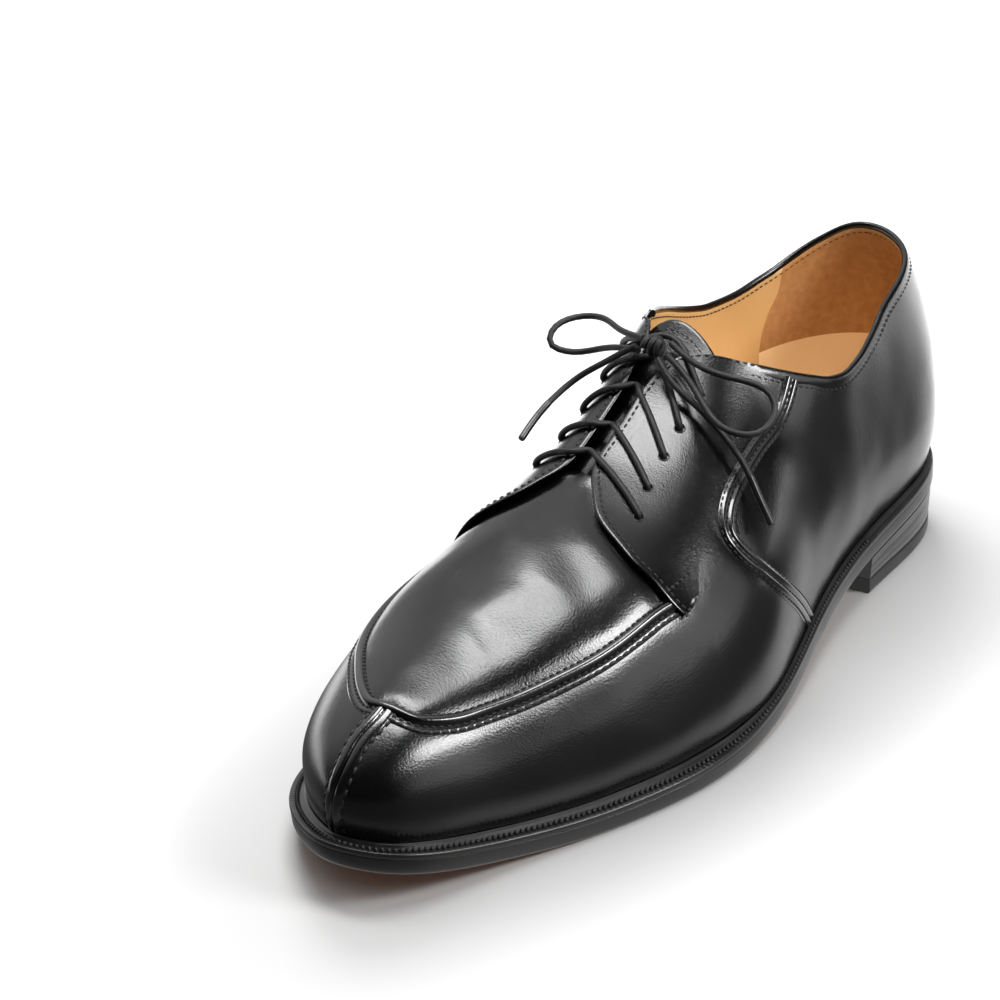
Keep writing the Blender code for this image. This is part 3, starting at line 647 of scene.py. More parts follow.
# Soft creases: side, width, depth, then the line as station and rise
CREASES = (
    (1, 7.0, 0.55, ((221, 1.76), (232, 1.735), (240, 1.725), (251, 1.75))),
    (1, 6.0, -0.30, ((226, 1.87), (235, 1.865), (243, 1.86))),
    (1, 7.0, 0.45, ((206, 1.80), (212, 1.70), (216, 1.58), (217, 1.48))),
    (-1, 8.0, 0.40, ((212, 1.88), (226, 1.92), (240, 1.95))),
    (-1, 7.0, 0.45, ((206, 1.80), (212, 1.68), (216, 1.56))),
    (1, 9.0, 0.60, ((196, 1.30), (205, 1.18), (212, 1.05))),
    (-1, 9.0, 0.60, ((196, 1.30), (205, 1.18), (212, 1.05))),
    (1, 5.0, 0.35, ((58, 1.44), (62, 1.36), (70, 1.25))),
    (-1, 5.0, 0.35, ((60, 1.48), (66, 1.38), (76, 1.25))),
)
# Fine wrinkles under the lateral dip of the collar: station at the top, depth
WRINKLES = ((66, 0.10), (70, 0.14), (73, 0.10), (77, 0.16), (81, 0.12), (85, 0.15), (89, 0.10))
WRINKLE_WIDTH = 1.5
# Slow unevenness of hand lasted leather: depth, width
UNEVEN_DEPTH, UNEVEN_WIDTH = 0.16, 13.0
# Troughs along the seams: width, depth
APRON_TROUGH, TOE_TROUGH, QUARTER_TROUGH, FACING_TROUGH = (3.2, 0.45), (3.2, 0.35), (3.4, 0.45), (3.0, 0.8)


def press(points, normals, line, width, depth, taper=True):
    """Presses a soft trough into points along a line on the last."""
    spots = last(*line)
    share = np.linspace(0, 1, len(spots))
    strength = np.sin(pi * share) ** 0.7 if taper else np.ones(len(spots))
    tree = KDTree(len(spots))
    for i, spot in enumerate(spots):
        tree.insert(spot, i)
    tree.balance()
    low, high = spots.min(0) - 3 * width, spots.max(0) + 3 * width
    near = np.where(((points > low) & (points < high)).all(-1))[0]
    for k in near:
        _, i, distance = tree.find(points[k])
        if distance < 3 * width:
            points[k] -= normals[k] * depth * strength[i] * np.exp(-(distance / width) ** 2)


def both_sides(count):
    """Turns round the whole last, the same on both of its sides."""
    turns = np.linspace(0, pi, count)
    return np.concatenate((turns, 2 * pi - turns[-2:0:-1]))


def thicken(piece, name, thickness, offset):
    """Gives a sheet its thickness: inward where the offset is -1, both ways at 0, outward at 1."""
    layer = piece.modifiers.new(name, "SOLIDIFY")
    layer.thickness = thickness * MM
    layer.offset = offset


# Dark and light of the dyed calf
CALF_BLACK = ((0.0008, 0.0008, 0.0010), (0.0018, 0.0018, 0.0021))
CALF = finish("polished_calf", *CALF_BLACK, (0.18, 0.24), 1700, 45, bump=0.38, relief=0.00014,
              Coat_Weight=0.25, Coat_Roughness=0.14)

upper_around = both_sides(UPPER_COLUMNS)
top = wall_top(upper_around)
foot = np.linspace(0.0, 1.0, FOOT_ROWS, endpoint=False)
arch = np.linspace(0.0, 1.0, ARCH_ROWS)
rise_grid = np.concatenate((np.repeat(foot[:, None], len(top), 1), 1 + (top[None, :] - 1) * arch[:, None]))
around_grid = np.broadcast_to(upper_around, rise_grid.shape)
columns = len(upper_around)
wall_points = last(around_grid, rise_grid).reshape(-1, 3)
wall_normals = outward(around_grid, rise_grid)
# The two sides meet on the ridge of the vamp, so they share their normals there
ridge_normals = unit(wall_normals[-1] + wall_normals[-1][-np.arange(columns) % columns])
on_vamp = outer_station(upper_around) > VAMP_BACK
wall_normals[-1] = np.where(on_vamp[:, None], ridge_normals, wall_normals[-1])
wall_normals = wall_normals.reshape(-1, 3)
for side, width, depth, rows in CREASES:
    press(wall_points, wall_normals, side_line(side, rows, 40), width, depth)
for station, depth in WRINKLES:
    fold = ((station, 1.41), (station + 6, 1.33), (station + 15, 1.22))
    press(wall_points, wall_normals, side_line(1, fold, 40), WRINKLE_WIDTH, depth)
for k, point in enumerate(wall_points):
    wall_points[k] += wall_normals[k] * UNEVEN_DEPTH * noise.noise(Vector(point / UNEVEN_WIDTH))
press(wall_points, wall_normals, apron_line, *APRON_TROUGH, taper=False)
press(wall_points, wall_normals, toe_line, *TOE_TROUGH, taper=False)
for side in (1, -1):
    around, rise = facing_edge(side)
    on_apron = (outer_station(around) > VAMP_BACK + 4) & (rise > 1.45)
    press(wall_points, wall_normals, (around[on_apron], rise[on_apron]), *FACING_TROUGH, taper=False)
for line in quarter_lines.values():
    press(wall_points, wall_normals, line, *QUARTER_TROUGH, taper=False)
wall_faces = grid_faces(len(rise_grid), columns, close_columns=True)
upper = add_piece("upper_calf", wall_points, wall_faces, (CALF,), "black_calf", ("upper",), sharp=80)
thicken(upper, "leather", CALF_THICK, -1)


# Insole and sock
# A leather insole board under the foot, covered from heel to toe by a pale natural sock that is
# glued down inside the lasted upper.

INSOLE_INSET = 2.0
SOCK = finish("sock_leather", (0.860, 0.620, 0.350), (0.900, 0.680, 0.400), (0.42, 0.55), 1400, 30,
              bump=0.12)
# Extra inset and height over the outsole's underside, from the bottom edge to the middle
SOCK_PROFILE = ((0.0, 5.3), (0.0, 9.2), (0.25, 9.6), (0.8, 9.75), (4.0, 9.6), (9.0, 9.45))
sock_inset = steady(LEDGE, 1, outer_station(around_sole)) + INSOLE_INSET
sock_rings = np.array([outline_ring(sock_inset + extra, height) for extra, height in SOCK_PROFILE])
add_piece("insole_sock", sock_rings, capped_faces(len(sock_rings), ring_size), (SOCK,), "tan_lining",
          ("insole",))


# Lining
# Natural tan calf inside the wall: a smooth vamp and quarter lining in front, a suede heel grip
# behind it, laid flesh side out so that the heel doesn't slip, and the sock's leather below that.

LINING_LIFT, LINING_THICK = -1.75, 0.3
LINING_COLUMNS, LINING_ROWS = 150, 40
LINING_BELOW, LINING_FOOT = 1.2, 0.02
# Front edge of the heel grip on each side, height of its foot, and how far it stands off the lining
HEEL_GRIP = {1: 62.0, -1: 34.8}
GRIP_FOOT, GRIP_MOST, GRIP_STEP = 58.5, 0.85, 0.35
# Share of the heel grip's height, lean of its front edge towards the heel
GRIP_LEAN = np.array(((0.0, 0.0), (0.2, 1.0), (0.49, 4.2), (0.72, 8.6), (1.0, 10.3)))
GRIP_REACH = 32.0
TAN_LINING = finish("tan_lining", (0.600, 0.360, 0.142), (0.680, 0.425, 0.178), (0.38, 0.50), 1300, 35,
                    bump=0.15)
TAN_SUEDE = finish("tan_suede", (0.400, 0.185, 0.060), (0.500, 0.250, 0.090), (0.80, 0.92), 2200, 400,
                   bump=0.5, relief=0.0002)

lining_around = both_sides(LINING_COLUMNS)
behind = np.where(lining_around <= pi, HEEL_GRIP[1], HEEL_GRIP[-1]) - outer_station(lining_around)
half = LINING_ROWS // 2
share = np.concatenate((np.zeros(half), np.linspace(0, 1, half)))[:, None]
lean = steady(GRIP_LEAN, 1, share) * (1 - ease(0, GRIP_REACH, np.abs(behind)))
leaned = np.maximum(outer_station(lining_around) - lean, 0.0)
lining_grid = np.where(lining_around <= pi, at(1, leaned), at(-1, leaned))
lining_top = wall_top(lining_grid, LINING_BELOW)
grip_rise = np.minimum(rise_at_height(lining_grid, GRIP_FOOT), GRIP_MOST * lining_top)
low_share = np.concatenate((np.linspace(0, 1, half, endpoint=False), np.ones(half)))[:, None]
lining_rise = LINING_FOOT + (grip_rise - LINING_FOOT) * low_share + (lining_top - grip_rise) * share
grip_step = GRIP_STEP * ease(-1.0, 0.5, behind)
lining_points = surface(lining_grid, lining_rise, LINING_LIFT - grip_step[None, :])
lining_faces = grid_faces(LINING_ROWS, len(lining_around), close_columns=True)
grip_start = half * len(lining_around)
# Finish of each face: 0 in front of the grip, 1 on it, 2 below it
cover = []
for face in lining_faces:
    if behind[face[0] % len(lining_around)] <= 0:
        cover.append(0)
    else:
        cover.append(1 if face[0] >= grip_start else 2)
lining = add_piece("lining", lining_points, lining_faces, (TAN_LINING, TAN_SUEDE, SOCK), "tan_lining",
                   finish_index=cover, sharp=80)
thicken(lining, "backing", LINING_THICK, 1)


# Collar
# The top line: the calf is turned over at the edge, so that a narrow black roll stands above
# the lining, held by one row of stitches just below it.

COLLAR_COUNT = 300
COLLAR_END = {1: 122.0, -1: 113.5}
# Distance below the edge, lift off the last
COLLAR_PROFILE = (
    (3.4, -0.25), (2.9, 0.04), (2.2, 0.18), (1.4, 0.24), (0.6, 0.2), (0.0, 0.0), (-0.35, -0.45),
    (-0.4, -0.95), (-0.15, -1.45), (0.3, -1.8), (0.9, -1.95), (1.4, -1.9), (1.6, -1.7), (1.6, -1.3))


def beside(line, offset):
    """The same path moved across on the surface, to the left of its direction seen from outside."""
    around, rise = line
    spots = last(around, rise)
    across = unit(np.cross(outward(around, rise), unit(np.gradient(spots, axis=0))))
    return settle(around, rise, spots + across * offset)


def strip(name, line, profile, material, slot, replaced=(), side=1, raise_by=0.0, sharp=50, sink=(0.0, 0.0)):
    """A closed strip along a path on the last. The profile gives distance across and lift, and the
    sink how far its two ends go down into the leather."""
    share = np.linspace(0, 1, len(line[0]))
    lower = sink[0] * (1 - ease(0.0, 0.04, share)) + sink[1] * ease(0.96, 1.0, share)
    points = np.array([surface(*beside(line, offset * side), lift + raise_by - lower)
                       for offset, lift in profile])
    count = len(share)
    faces = grid_faces(len(profile), count, close_rows=True)
    for end in (0, count - 1):
        faces.append(tuple(k * count + end for k in range(len(profile))))
    add_piece(name, points, faces, (material,), slot, replaced, sharp=sharp)


collar_around = np.linspace(turn_of(COLLAR_END[1]), -turn_of(COLLAR_END[-1]), COLLAR_COUNT)
collar_line = (collar_around, top_line(collar_around))
strip("collar_roll", collar_line, COLLAR_PROFILE, CALF, "black_calf", sink=(0.5, 0.2))


# Tongue
# A soft calf tongue sewn in under the throat. Its free end is rounded, stitched once round, and
# stands above the facings.

TONGUE_HALF, TONGUE_FRONT, TONGUE_TOP = 24.0, 203.0, 118.0
TONGUE_LIFT, TONGUE_THICK, TONGUE_ARC = -3.8, 1.9, 5.0
TONGUE_SKIVE = 0.6
TONGUE_ACROSS, TONGUE_ALONG = 41, 60


def tongue_spots(across, start_by, share, lift):
    """Points of the tongue: across from -1 to 1, share from the free end to the front."""
    start = TONGUE_TOP + start_by + TONGUE_ARC * across ** 2
    turn = turn_of(start + (TONGUE_FRONT - start) * share)
    around = np.where(across >= 0, turn, 2 * pi - turn)
    rise = rise_at_distance(around, np.abs(across) * TONGUE_HALF)
    normal = outward(around, rise)
    mirror = outward(2 * pi - around, rise)
    near = np.clip(1 - np.abs(across) * 4, 0, 1)[..., None] * 0.5
    return last(around, rise) + unit(normal * (1 - near) + mirror * near) * lift


tongue_across, tongue_share = np.meshgrid(np.linspace(-1, 1, TONGUE_ACROSS), np.linspace(0, 1, TONGUE_ALONG))
tongue = add_piece("tongue_calf", tongue_spots(tongue_across, 0.0, tongue_share, TONGUE_LIFT),
                   grid_faces(TONGUE_ALONG, TONGUE_ACROSS), (CALF,), "black_calf", ("tongue",), sharp=80)
thicken(tongue, "leather", TONGUE_THICK, 0)
rounded = tongue.modifiers.new("skived_edge", "BEVEL")
rounded.width = TONGUE_SKIVE * MM
rounded.segments = 2
rounded.limit_method = "ANGLE"
rounded.angle_limit = radians(60)


# Facings
# The fronts of the quarters, lying open on the vamp: a skived and folded edge that stands off
# the apron, one row of stitches inside it, and five plain punched holes on each side.

FACING_ACROSS = 34
# Height of the edge over the apron on each side
FACING_STEP = {1: 1.9, -1: 2.3}
# Its height at the collar, how far the root sinks into the wall, and how fast the lift falls to it
FACING_TOP_STEP, FACING_SINK, FACING_FALL = 0.25, 0.12, 2.2
FACING_THICK = 1.1
# Distance inside the folded edge, how much lower it is there
FACING_FOLD = np.array(((0, 0.5), (0.2, 0.24), (0.5, 0.07), (0.9, 0.0)))
EYELET_RADIUS, EYELET_RIM, PUNCH_DEPTH = 1.5, 0.2, 12.0
RIM_TURNS, RIM_SIDES = 28, 8
SIDES = ((1, "lateral"), (-1, "medial"))
# Line on the quarter where the facing has run into the wall
FACING_ROOT = ((103, 1.39), (112, 1.40), (126, 1.41), (142, 1.41), (156, 1.40), (166, 1.385), (174, 1.375),
               (180, 1.375), (183.5, 1.376))
# Outline station and rise of the holes of each side, from the front
EYELETS = {1: ((186, 1.70), (176, 1.74), (163, 1.755), (151, 1.755), (137, 1.735)),
           -1: ((173, 1.665), (160.5, 1.67), (148, 1.665), (135, 1.66), (123, 1.67))}


def facing_grid(side, inside):
    """Around, rise and lift over a facing, at distances inside its edge."""
    edge_around, edge_rise = facing_edge(side)
    root_around, root_rise = side_line(side, FACING_ROOT, FACING_ALONG)
    width = np.linalg.norm(last(edge_around, edge_rise) - last(root_around, root_rise), axis=-1)
    share = np.clip(inside[:, None] / width[None, :], 0, 1)
    around = edge_around + (root_around - edge_around) * share
    rise = edge_rise + (root_rise - edge_rise) * share
    along = np.linspace(0, 1, FACING_ALONG)
    step = FACING_TOP_STEP + (FACING_STEP[side] - FACING_TOP_STEP) * ease(0.0, 0.22, along)
    step = step * (1 - ease(0.94, 1.0, along))
    lift = (step + FACING_SINK) * (1 - share) ** FACING_FALL - FACING_SINK
    return around, rise, lift


def facing_lift_at(side, station, rise):
    """Lift of the finished facing near a place on it."""
    around, rises, lift = facing_grid(side, np.linspace(0, 40, 60))
    gap = np.linalg.norm(last(around, rises) - last(at(side, station), rise), axis=-1)
    return float(lift.flat[np.argmin(gap)])


def keep_shape(piece):
    """Turns a piece's modifiers into its mesh."""
    shaped = piece.evaluated_get(bpy.context.evaluated_depsgraph_get())
    mesh = bpy.data.meshes.new_from_object(shaped)
    piece.modifiers.clear()
    piece.data = mesh


def eyelet_punch(side):
    """Round pins that cut the holes of one facing."""
    punch = bmesh.new()
    for station, rise in EYELETS[side]:
        pin = bmesh.ops.create_cone(punch, cap_ends=True, segments=RIM_TURNS, radius1=EYELET_RADIUS * MM,
                                    radius2=EYELET_RADIUS * MM, depth=PUNCH_DEPTH * MM)
        normal = outward(at(side, station), rise)
        turned = Vector((normal[0], -normal[1], normal[2])).to_track_quat("Z", "Y").to_matrix()
        bmesh.ops.rotate(punch, verts=pin["verts"], cent=(0, 0, 0), matrix=turned)
        bmesh.ops.translate(punch, verts=pin["verts"], vec=Vector(put(last(at(side, station), rise))))
    mesh = bpy.data.meshes.new("eyelet_punch")
    punch.to_mesh(mesh)
    punch.free()
    tool = bpy.data.objects.new("eyelet_punch", mesh)
    bpy.context.scene.collection.objects.link(tool)
    return tool


def eyelet_rims(side):
    """The pressed rims of the holes, one thin ring round each."""
    points, faces = [], []
    for station, rise in EYELETS[side]:
        normal = outward(at(side, station), rise)
        centre = surface(at(side, station), rise, facing_lift_at(side, station, rise) + 0.05)
        first = unit(np.cross(normal, (0.0, 1.0, 0.2)))
        second = np.cross(normal, first)
        ring = grid_faces(RIM_TURNS, RIM_SIDES, close_rows=True, close_columns=True)
        faces += [tuple(len(points) + k for k in face) for face in ring]
        for turn in np.linspace(0, 2 * pi, RIM_TURNS, endpoint=False):
            out = np.cos(turn) * first + np.sin(turn) * second
            for angle in np.linspace(0, 2 * pi, RIM_SIDES, endpoint=False):
                reach = EYELET_RADIUS + EYELET_RIM * (0.6 + np.cos(angle))
                points.append(centre + out * reach + normal * EYELET_RIM * np.sin(angle))
    return np.array(points), faces


inside = np.concatenate((FACING_FOLD[:, 0], np.linspace(1.5, 60, FACING_ACROSS)))
rounding = np.interp(inside, *FACING_FOLD.T)
for side, word in SIDES:
    around, rise, lift = facing_grid(side, inside)
    points = surface(around, rise, lift - rounding[:, None])
    facing = add_piece("facing_" + word, points, grid_faces(*around.shape), (CALF,), "black_calf", sharp=80)
    thicken(facing, "leather", FACING_THICK, -1)
    tool = eyelet_punch(side)
    holes = facing.modifiers.new("eyelets", "BOOLEAN")
    holes.operation = "DIFFERENCE"
    holes.solver = "EXACT"
    holes.object = tool
    keep_shape(facing)
    facing.data.set_sharp_from_angle(angle=radians(35))
    bpy.data.objects.remove(tool)
    add_piece("eyelet_rims_" + word, *eyelet_rims(side), (CALF,), "black_calf", sharp=80)


# Seams
# The apron is joined to the vamp by a raised, hand stitched ridge with a low band outside it.
# The split at the toe is drawn together the same way, and the quarters end in a double ridge.

# Distance across, towards the apron first, and lift
APRON_PROFILE = (
    (2.7, -0.6), (2.1, -0.34), (1.75, -0.22), (1.5, 0.15), (1.25, 0.7), (0.8, 1.06), (0.2, 1.22),
    (-0.4, 1.15), (-0.95, 0.8), (-1.35, 0.25), (-1.7, -0.1), (-2.1, 0.0), (-2.7, 0.16), (-3.4, 0.14),
    (-4.0, 0.0), (-4.4, -0.25), (-4.9, -0.6))
# Halves of the two double ridges, from the outer edge to the middle
TOE_HALF = ((4.3, -0.6), (3.9, -0.25), (3.5, -0.15), (3.05, 0.1), (2.6, 0.46), (1.8, 0.62), (1.0, 0.74),
            (0.5, 0.55), (0.18, 0.1), (0.0, -0.15))
QUARTER_HALF = ((3.4, -0.6), (2.7, -0.2), (2.3, 0.05), (1.9, 0.45), (1.35, 0.68), (0.8, 0.52),
                (0.35, 0.1), (0.0, -0.02))
QUARTER_LIFT = 0.25
BURNISHED = finish("burnished_calf", *CALF_BLACK, (0.20, 0.25), 1700, 45, bump=0.3, relief=0.00012,
                   Coat_Weight=0.8, Coat_Roughness=0.12)


def mirrored(half):
    """A whole profile from its half, whose last row is the middle."""
    return half + tuple((-across, lift) for across, lift in half[-2::-1])


strip("apron_ridge", apron_line, APRON_PROFILE, BURNISHED, "black_calf", ("apron_seam",))
strip("toe_split", toe_line, mirrored(TOE_HALF), BURNISHED, "black_calf", ("toe_seam",))
for side, word in SIDES:
    strip("quarter_ridge_" + word, quarter_lines[side], mirrored(QUARTER_HALF), BURNISHED, "black_calf",
          ("quarter_seam_" + word,), side=side, raise_by=QUARTER_LIFT)


# Stitches
# Waxed black thread, lockstitched: each stitch is a short plump piece of thread that dives into
# the leather at both ends.

# Short rows of stitches that hold the facings' front corners: outline station, rise
TACKS = (((194.3, 1.451), (187.9, 1.448), (181.4, 1.448)), ((192.5, 1.346), (189.0, 1.356), (185.9, 1.370)))
THREAD = finish("waxed_thread", (0.004, 0.004, 0.004), (0.007, 0.007, 0.007), (0.50, 0.62), 3000, 200,
                bump=0.3)
STITCH_RINGS, STITCH_SIDES = 5, 6
# Share of the thread's width by which a stitch's ends dive
STITCH_DIVE = 0.25


def tube_faces(rings, sides, start=0):
    """Quads along a tube, and one face at each of its ends."""
    faces = grid_faces(rings, sides, close_columns=True)
    faces += [tuple(range(sides)), tuple((rings - 1) * sides + k for k in range(sides))]
    return [tuple(start + k for k in face) for face in faces]


def stitch_row(name, line, lift, pitch=2.3, length=1.75, width=0.62):
    """One mesh of evenly spaced stitches along a path on the last."""
    around, rise = line
    spots = surface(around, rise, lift)
    sew(name, spots, outward(around, rise), pitch, length, width)


def sew(name, spots, normals, pitch, length, width, slot="black_calf"):
    """Stitches along points in space, standing on the given normals."""
    way = way_along(spots)
    count = max(int(way[-1] / pitch), 1)
    places = (np.arange(count) + 0.5) * way[-1] / count

    def along_way(values, at_way):
        return np.stack([np.interp(at_way, way, values[:, k]) for k in range(3)], -1)

    centre, normal = along_way(spots, places), unit(along_way(normals, places))
    ahead = unit(along_way(spots, places + 0.3) - along_way(spots, places - 0.3))
    across = np.cross(normal, ahead)
    points, faces = [], []
    for i in range(count):
        faces += tube_faces(STITCH_RINGS, STITCH_SIDES, len(points))
        for r in range(STITCH_RINGS):
            t = -1 + 2 * (r + 0.5) / STITCH_RINGS
            plump = (1 - abs(t) ** 3) ** 0.5
            for s in range(STITCH_SIDES):
                angle = 2 * pi * s / STITCH_SIDES
                points.append(centre[i] + ahead[i] * t * length / 2
                              + across[i] * np.cos(angle) * plump * width / 2
                              + normal[i] * (np.sin(angle) * plump * width / 2 - STITCH_DIVE * t * t * width))
    add_piece(name, np.array(points), faces, (THREAD,), slot, sharp=60)


# Distance across, lift, pitch, length and width of the apron's rows: two fine ones and a rope-like one
APRON_ROWS = ((1.85, -0.12, 2.3, 1.75, 0.65), (-1.75, 0.02, 2.3, 1.75, 0.65), (-3.3, 0.02, 2.6, 3.0, 1.2))
for number, (offset, lift, pitch, length, width) in enumerate(APRON_ROWS, 1):
    stitch_row(f"apron_stitch_{number}", beside(apron_line, offset), lift, pitch, length, width)
for number, offset in enumerate((3.5, -3.5), 1):
    stitch_row(f"toe_stitch_{number}", beside(toe_line, offset), 0.05, pitch=3.1, length=2.5, width=0.95)
for side, word in SIDES:
    for number, offset in enumerate((2.45, 0.0, -2.45), 1):
        stitch_row(f"quarter_stitch_{word}_{number}", beside(quarter_lines[side], offset * side), 0.28)
    around, rise, lift = facing_grid(side, np.array((2.2,)))
    stitch_row("facing_stitch_" + word, (around[0], rise[0]), lift[0] + 0.05, pitch=2.4, length=1.8,
               width=0.75)
for side, word in SIDES:
    for number, rows in enumerate(TACKS, 1):
        around, rise = side_line(side, rows, 12)
        lift = [facing_lift_at(side, outer_station(a), r) + 0.1 for a, r in zip(around, rise)]
        stitch_row(f"tack_{word}_{number}", (around, rise), np.array(lift), pitch=1.9, length=1.7, width=1.0)
stitch_row("collar_stitch_outer", beside(collar_line, 3.9), 0.06, pitch=2.2, length=1.6, width=0.5)
stitch_row("collar_stitch_inner", beside(collar_line, 3.0), -2.0, pitch=2.2, length=1.5, width=0.45)
# Welt seam: share of the ledge, height over the outsole's underside, station where it begins
WELT_SEAM, WELT_SEAM_HEIGHT, WELT_SEAM_BEGIN = 0.42, 7.25, 72
sewn = welt_station > WELT_SEAM_BEGIN
x, station = edge(welt_around[sewn], WELT_SEAM * welt_ledge[sewn])
welt_spots = np.stack((x, station, underside(station) + WELT_SEAM_HEIGHT), -1)
upright = np.tile((0.0, 0.0, 1.0), (len(welt_spots), 1))
sew("welt_stitch", welt_spots, upright, WHEEL_PITCH, 1.5, 1.5, "black_edge")
tongue_edge = np.linspace(-0.82, 0.82, 60)
tongue_seam = tongue_spots(tongue_edge, 4.0, np.zeros(60), TONGUE_LIFT + TONGUE_THICK / 2)
sew("tongue_stitch", tongue_seam, np.tile((0.0, -0.5, 0.85), (60, 1)), 2.0, 1.5, 0.5)


# Laces
# One round waxed cotton lace through five pairs of holes: straight bars across the throat, a
# tight knot above the last pair, a bow of two loops, and two free ends with hard black tips.

LACE_RADIUS = 1.0
TIP_LENGTH, TIP_SLEEVE = 16.0, 0.12
# Height of the crossings over the ridge, where they are straight and where they run back
BAR_ARCH, BAR_SAG = 2.9, 1.6
# How far back the middle of each crossing runs
BAR_DIPS = (0.0, 3.0, 8.0, 7.0, 0.5)
HOLE_DEPTH = 1.6
# Share of the way from the hole to the facing's edge, height of the lace's middle over the facing
BAR_LIFTS = ((0.0, 0.5), (0.12, 1.2), (0.3, 1.35), (0.55, 1.35), (0.8, 1.4), (1.0, 1.5))
WAXED_LACE = finish("waxed_lace", (0.004, 0.004, 0.004), (0.008, 0.008, 0.008), (0.45, 0.58), 2600, 150,
                    bump=0.6, relief=0.0002)
LACE_TIP = finish("lace_tip", (0.005, 0.005, 0.005), (0.009, 0.009, 0.009), (0.25, 0.35), 1200, 90,
                  bump=0.08)
KNOT_HALF, KNOT_RADIUS, KNOT_TURNS = 2.6, 2.35, 2.2
# Middle of the knot and middle lines of the bow: x, station along the shoe, height
KNOT = np.array((0.5, 133.0, 104.0))
LOOP_MEDIAL = ((-4.5, 131.6, 105.2), (-16.3, 128.2, 105.0), (-23.5, 125.0, 105.7), (-31.5, 125.2, 105.2),
               (-35.5, 129.8, 104.6), (-36.9, 135.0, 102.2), (-35.9, 137.0, 99.8), (-33.0, 135.7, 97.6),
               (-28.5, 133.2, 96.8), (-22.0, 131.8, 98.4), (-12.8, 133.2, 101.2), (-4.7, 133.8, 102.2))
LOOP_LATERAL = ((5.6, 131.6, 105.3), (10.0, 133.0, 103.6), (17.6, 134.8, 101.4), (26.7, 134.3, 99.6),
                (34.2, 132.6, 98.3), (39.6, 131.9, 96.2), (42.9, 133.6, 92.9), (43.9, 137.6, 89.6),
                (42.2, 141.9, 87.5), (38.7, 144.8, 87.4), (33.9, 146.3, 88.6), (28.2, 144.9, 90.7),
                (20.5, 140.4, 94.6), (13.0, 136.6, 98.8), (5.7, 134.0, 102.2))
END_MEDIAL = ((-4.0, 136.4, 104.6), (-9.0, 137.6, 101.6), (-15.5, 138.0, 97.4), (-23.4, 140.0, 92.2),
              (-27.6, 147.6, 87.6), (-28.2, 157.0, 84.2), (-28.0, 165.2, 80.5))
END_LATERAL = ((4.2, 137.2, 102.2), (9.0, 139.2, 98.0), (14.5, 140.0, 94.0), (22.1, 140.6, 89.6),
               (29.3, 141.6, 84.4), (37.4, 142.9, 76.4), (43.5, 145.3, 68.4), (49.1, 147.5, 61.5))


def lace_mesh(name, route, radius, material, replaced=(), sides=14):
    """A round lace as a closed tube along a route."""
    ahead = unit(np.gradient(route, axis=0))
    first = np.cross(ahead[0], (0.3, 0.2, 1.0))
    rows = []
    for i, spot in enumerate(route):
        first = unit(first - ahead[i] * (first @ ahead[i]))
        second = np.cross(ahead[i], first)
        angle = np.linspace(0, 2 * pi, sides, endpoint=False)[:, None]
        rows.append(spot + radius * (np.cos(angle) * first + np.sin(angle) * second))
    faces = tube_faces(len(rows), sides)
    return add_piece(name, np.array(rows), faces, (material,), "black_lace", replaced, sharp=60)


def bar_route(holes, back):
    """Up out of the medial hole, over the facings and the throat, down into the lateral hole."""
    middle = (holes[1][0] + holes[-1][0]) / 2 - back
    ends = {}
    for side, (station, rise) in holes.items():
        throat = float(middle + back * 0.25)
        gap = steady(THROAT, 1 if side > 0 else 2, middle)
        lip = float(rise_at_distance(at(side, throat), gap + 1.0))
        ends[side] = [surface(at(side, station), rise, -HOLE_DEPTH)]
        for share, extra in BAR_LIFTS:
            spot_station, spot_rise = station + (throat - station) * share, rise + (lip - rise) * share
            lift = max(facing_lift_at(side, spot_station, spot_rise), 0.0) + extra
            ends[side].append(surface(at(side, spot_station), spot_rise, lift))
    centre = last(turn_of(middle), 2.0)
    centre[2] += BAR_ARCH if back < 1 else BAR_SAG
    return smooth_route(ends[-1] + [centre] + ends[1][::-1], 60)


for number, (lateral, medial, back) in enumerate(zip(EYELETS[1], EYELETS[-1], BAR_DIPS), 1):
    lace_mesh(f"lace_crossing_{number}", bar_route({1: lateral, -1: medial}, back), LACE_RADIUS, WAXED_LACE,
              (f"lace_bar_{number}",))

wind = np.linspace(0, 2 * pi * KNOT_TURNS, 70)
along_knot = KNOT_HALF * (2 * wind / wind[-1] - 1)
knot_route = KNOT + np.stack((along_knot, KNOT_RADIUS * np.cos(wind), KNOT_RADIUS * np.sin(wind)), -1)
lace_mesh("bow_knot", knot_route, LACE_RADIUS, WAXED_LACE, ("lace_knot",))


def lace_cord(name, rows, node, tip=None):
    """A free part of the lace as a round curve, from the knot to its far end."""
    route = smooth_route(rows, 34)
    curve = bpy.data.curves.new(name, "CURVE")
    curve.dimensions = "3D"
    curve.bevel_depth = LACE_RADIUS * MM
    curve.bevel_resolution = 4
    curve.use_fill_caps = True
    spline = curve.splines.new("POLY")
    spline.points.add(len(route) - 1)
    for point, spot in zip(spline.points, put(route)):
        point.co = (*spot, 1.0)
    spline.use_smooth = True
    curve.materials.append(WAXED_LACE)
    cord = bpy.data.objects.new(name, curve)
    bpy.context.scene.collection.objects.link(cord)
    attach(cord, "root")
    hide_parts(node)


def lace_tip(name, rows):
    """The hard end of a lace, a thin sleeve pressed over its last part."""
    route = smooth_route(rows, 120)
    left = np.linalg.norm(np.diff(route, axis=0), axis=1)[::-1].cumsum()[::-1]
    return lace_mesh(name, route[:-1][left < TIP_LENGTH], LACE_RADIUS + TIP_SLEEVE, LACE_TIP)


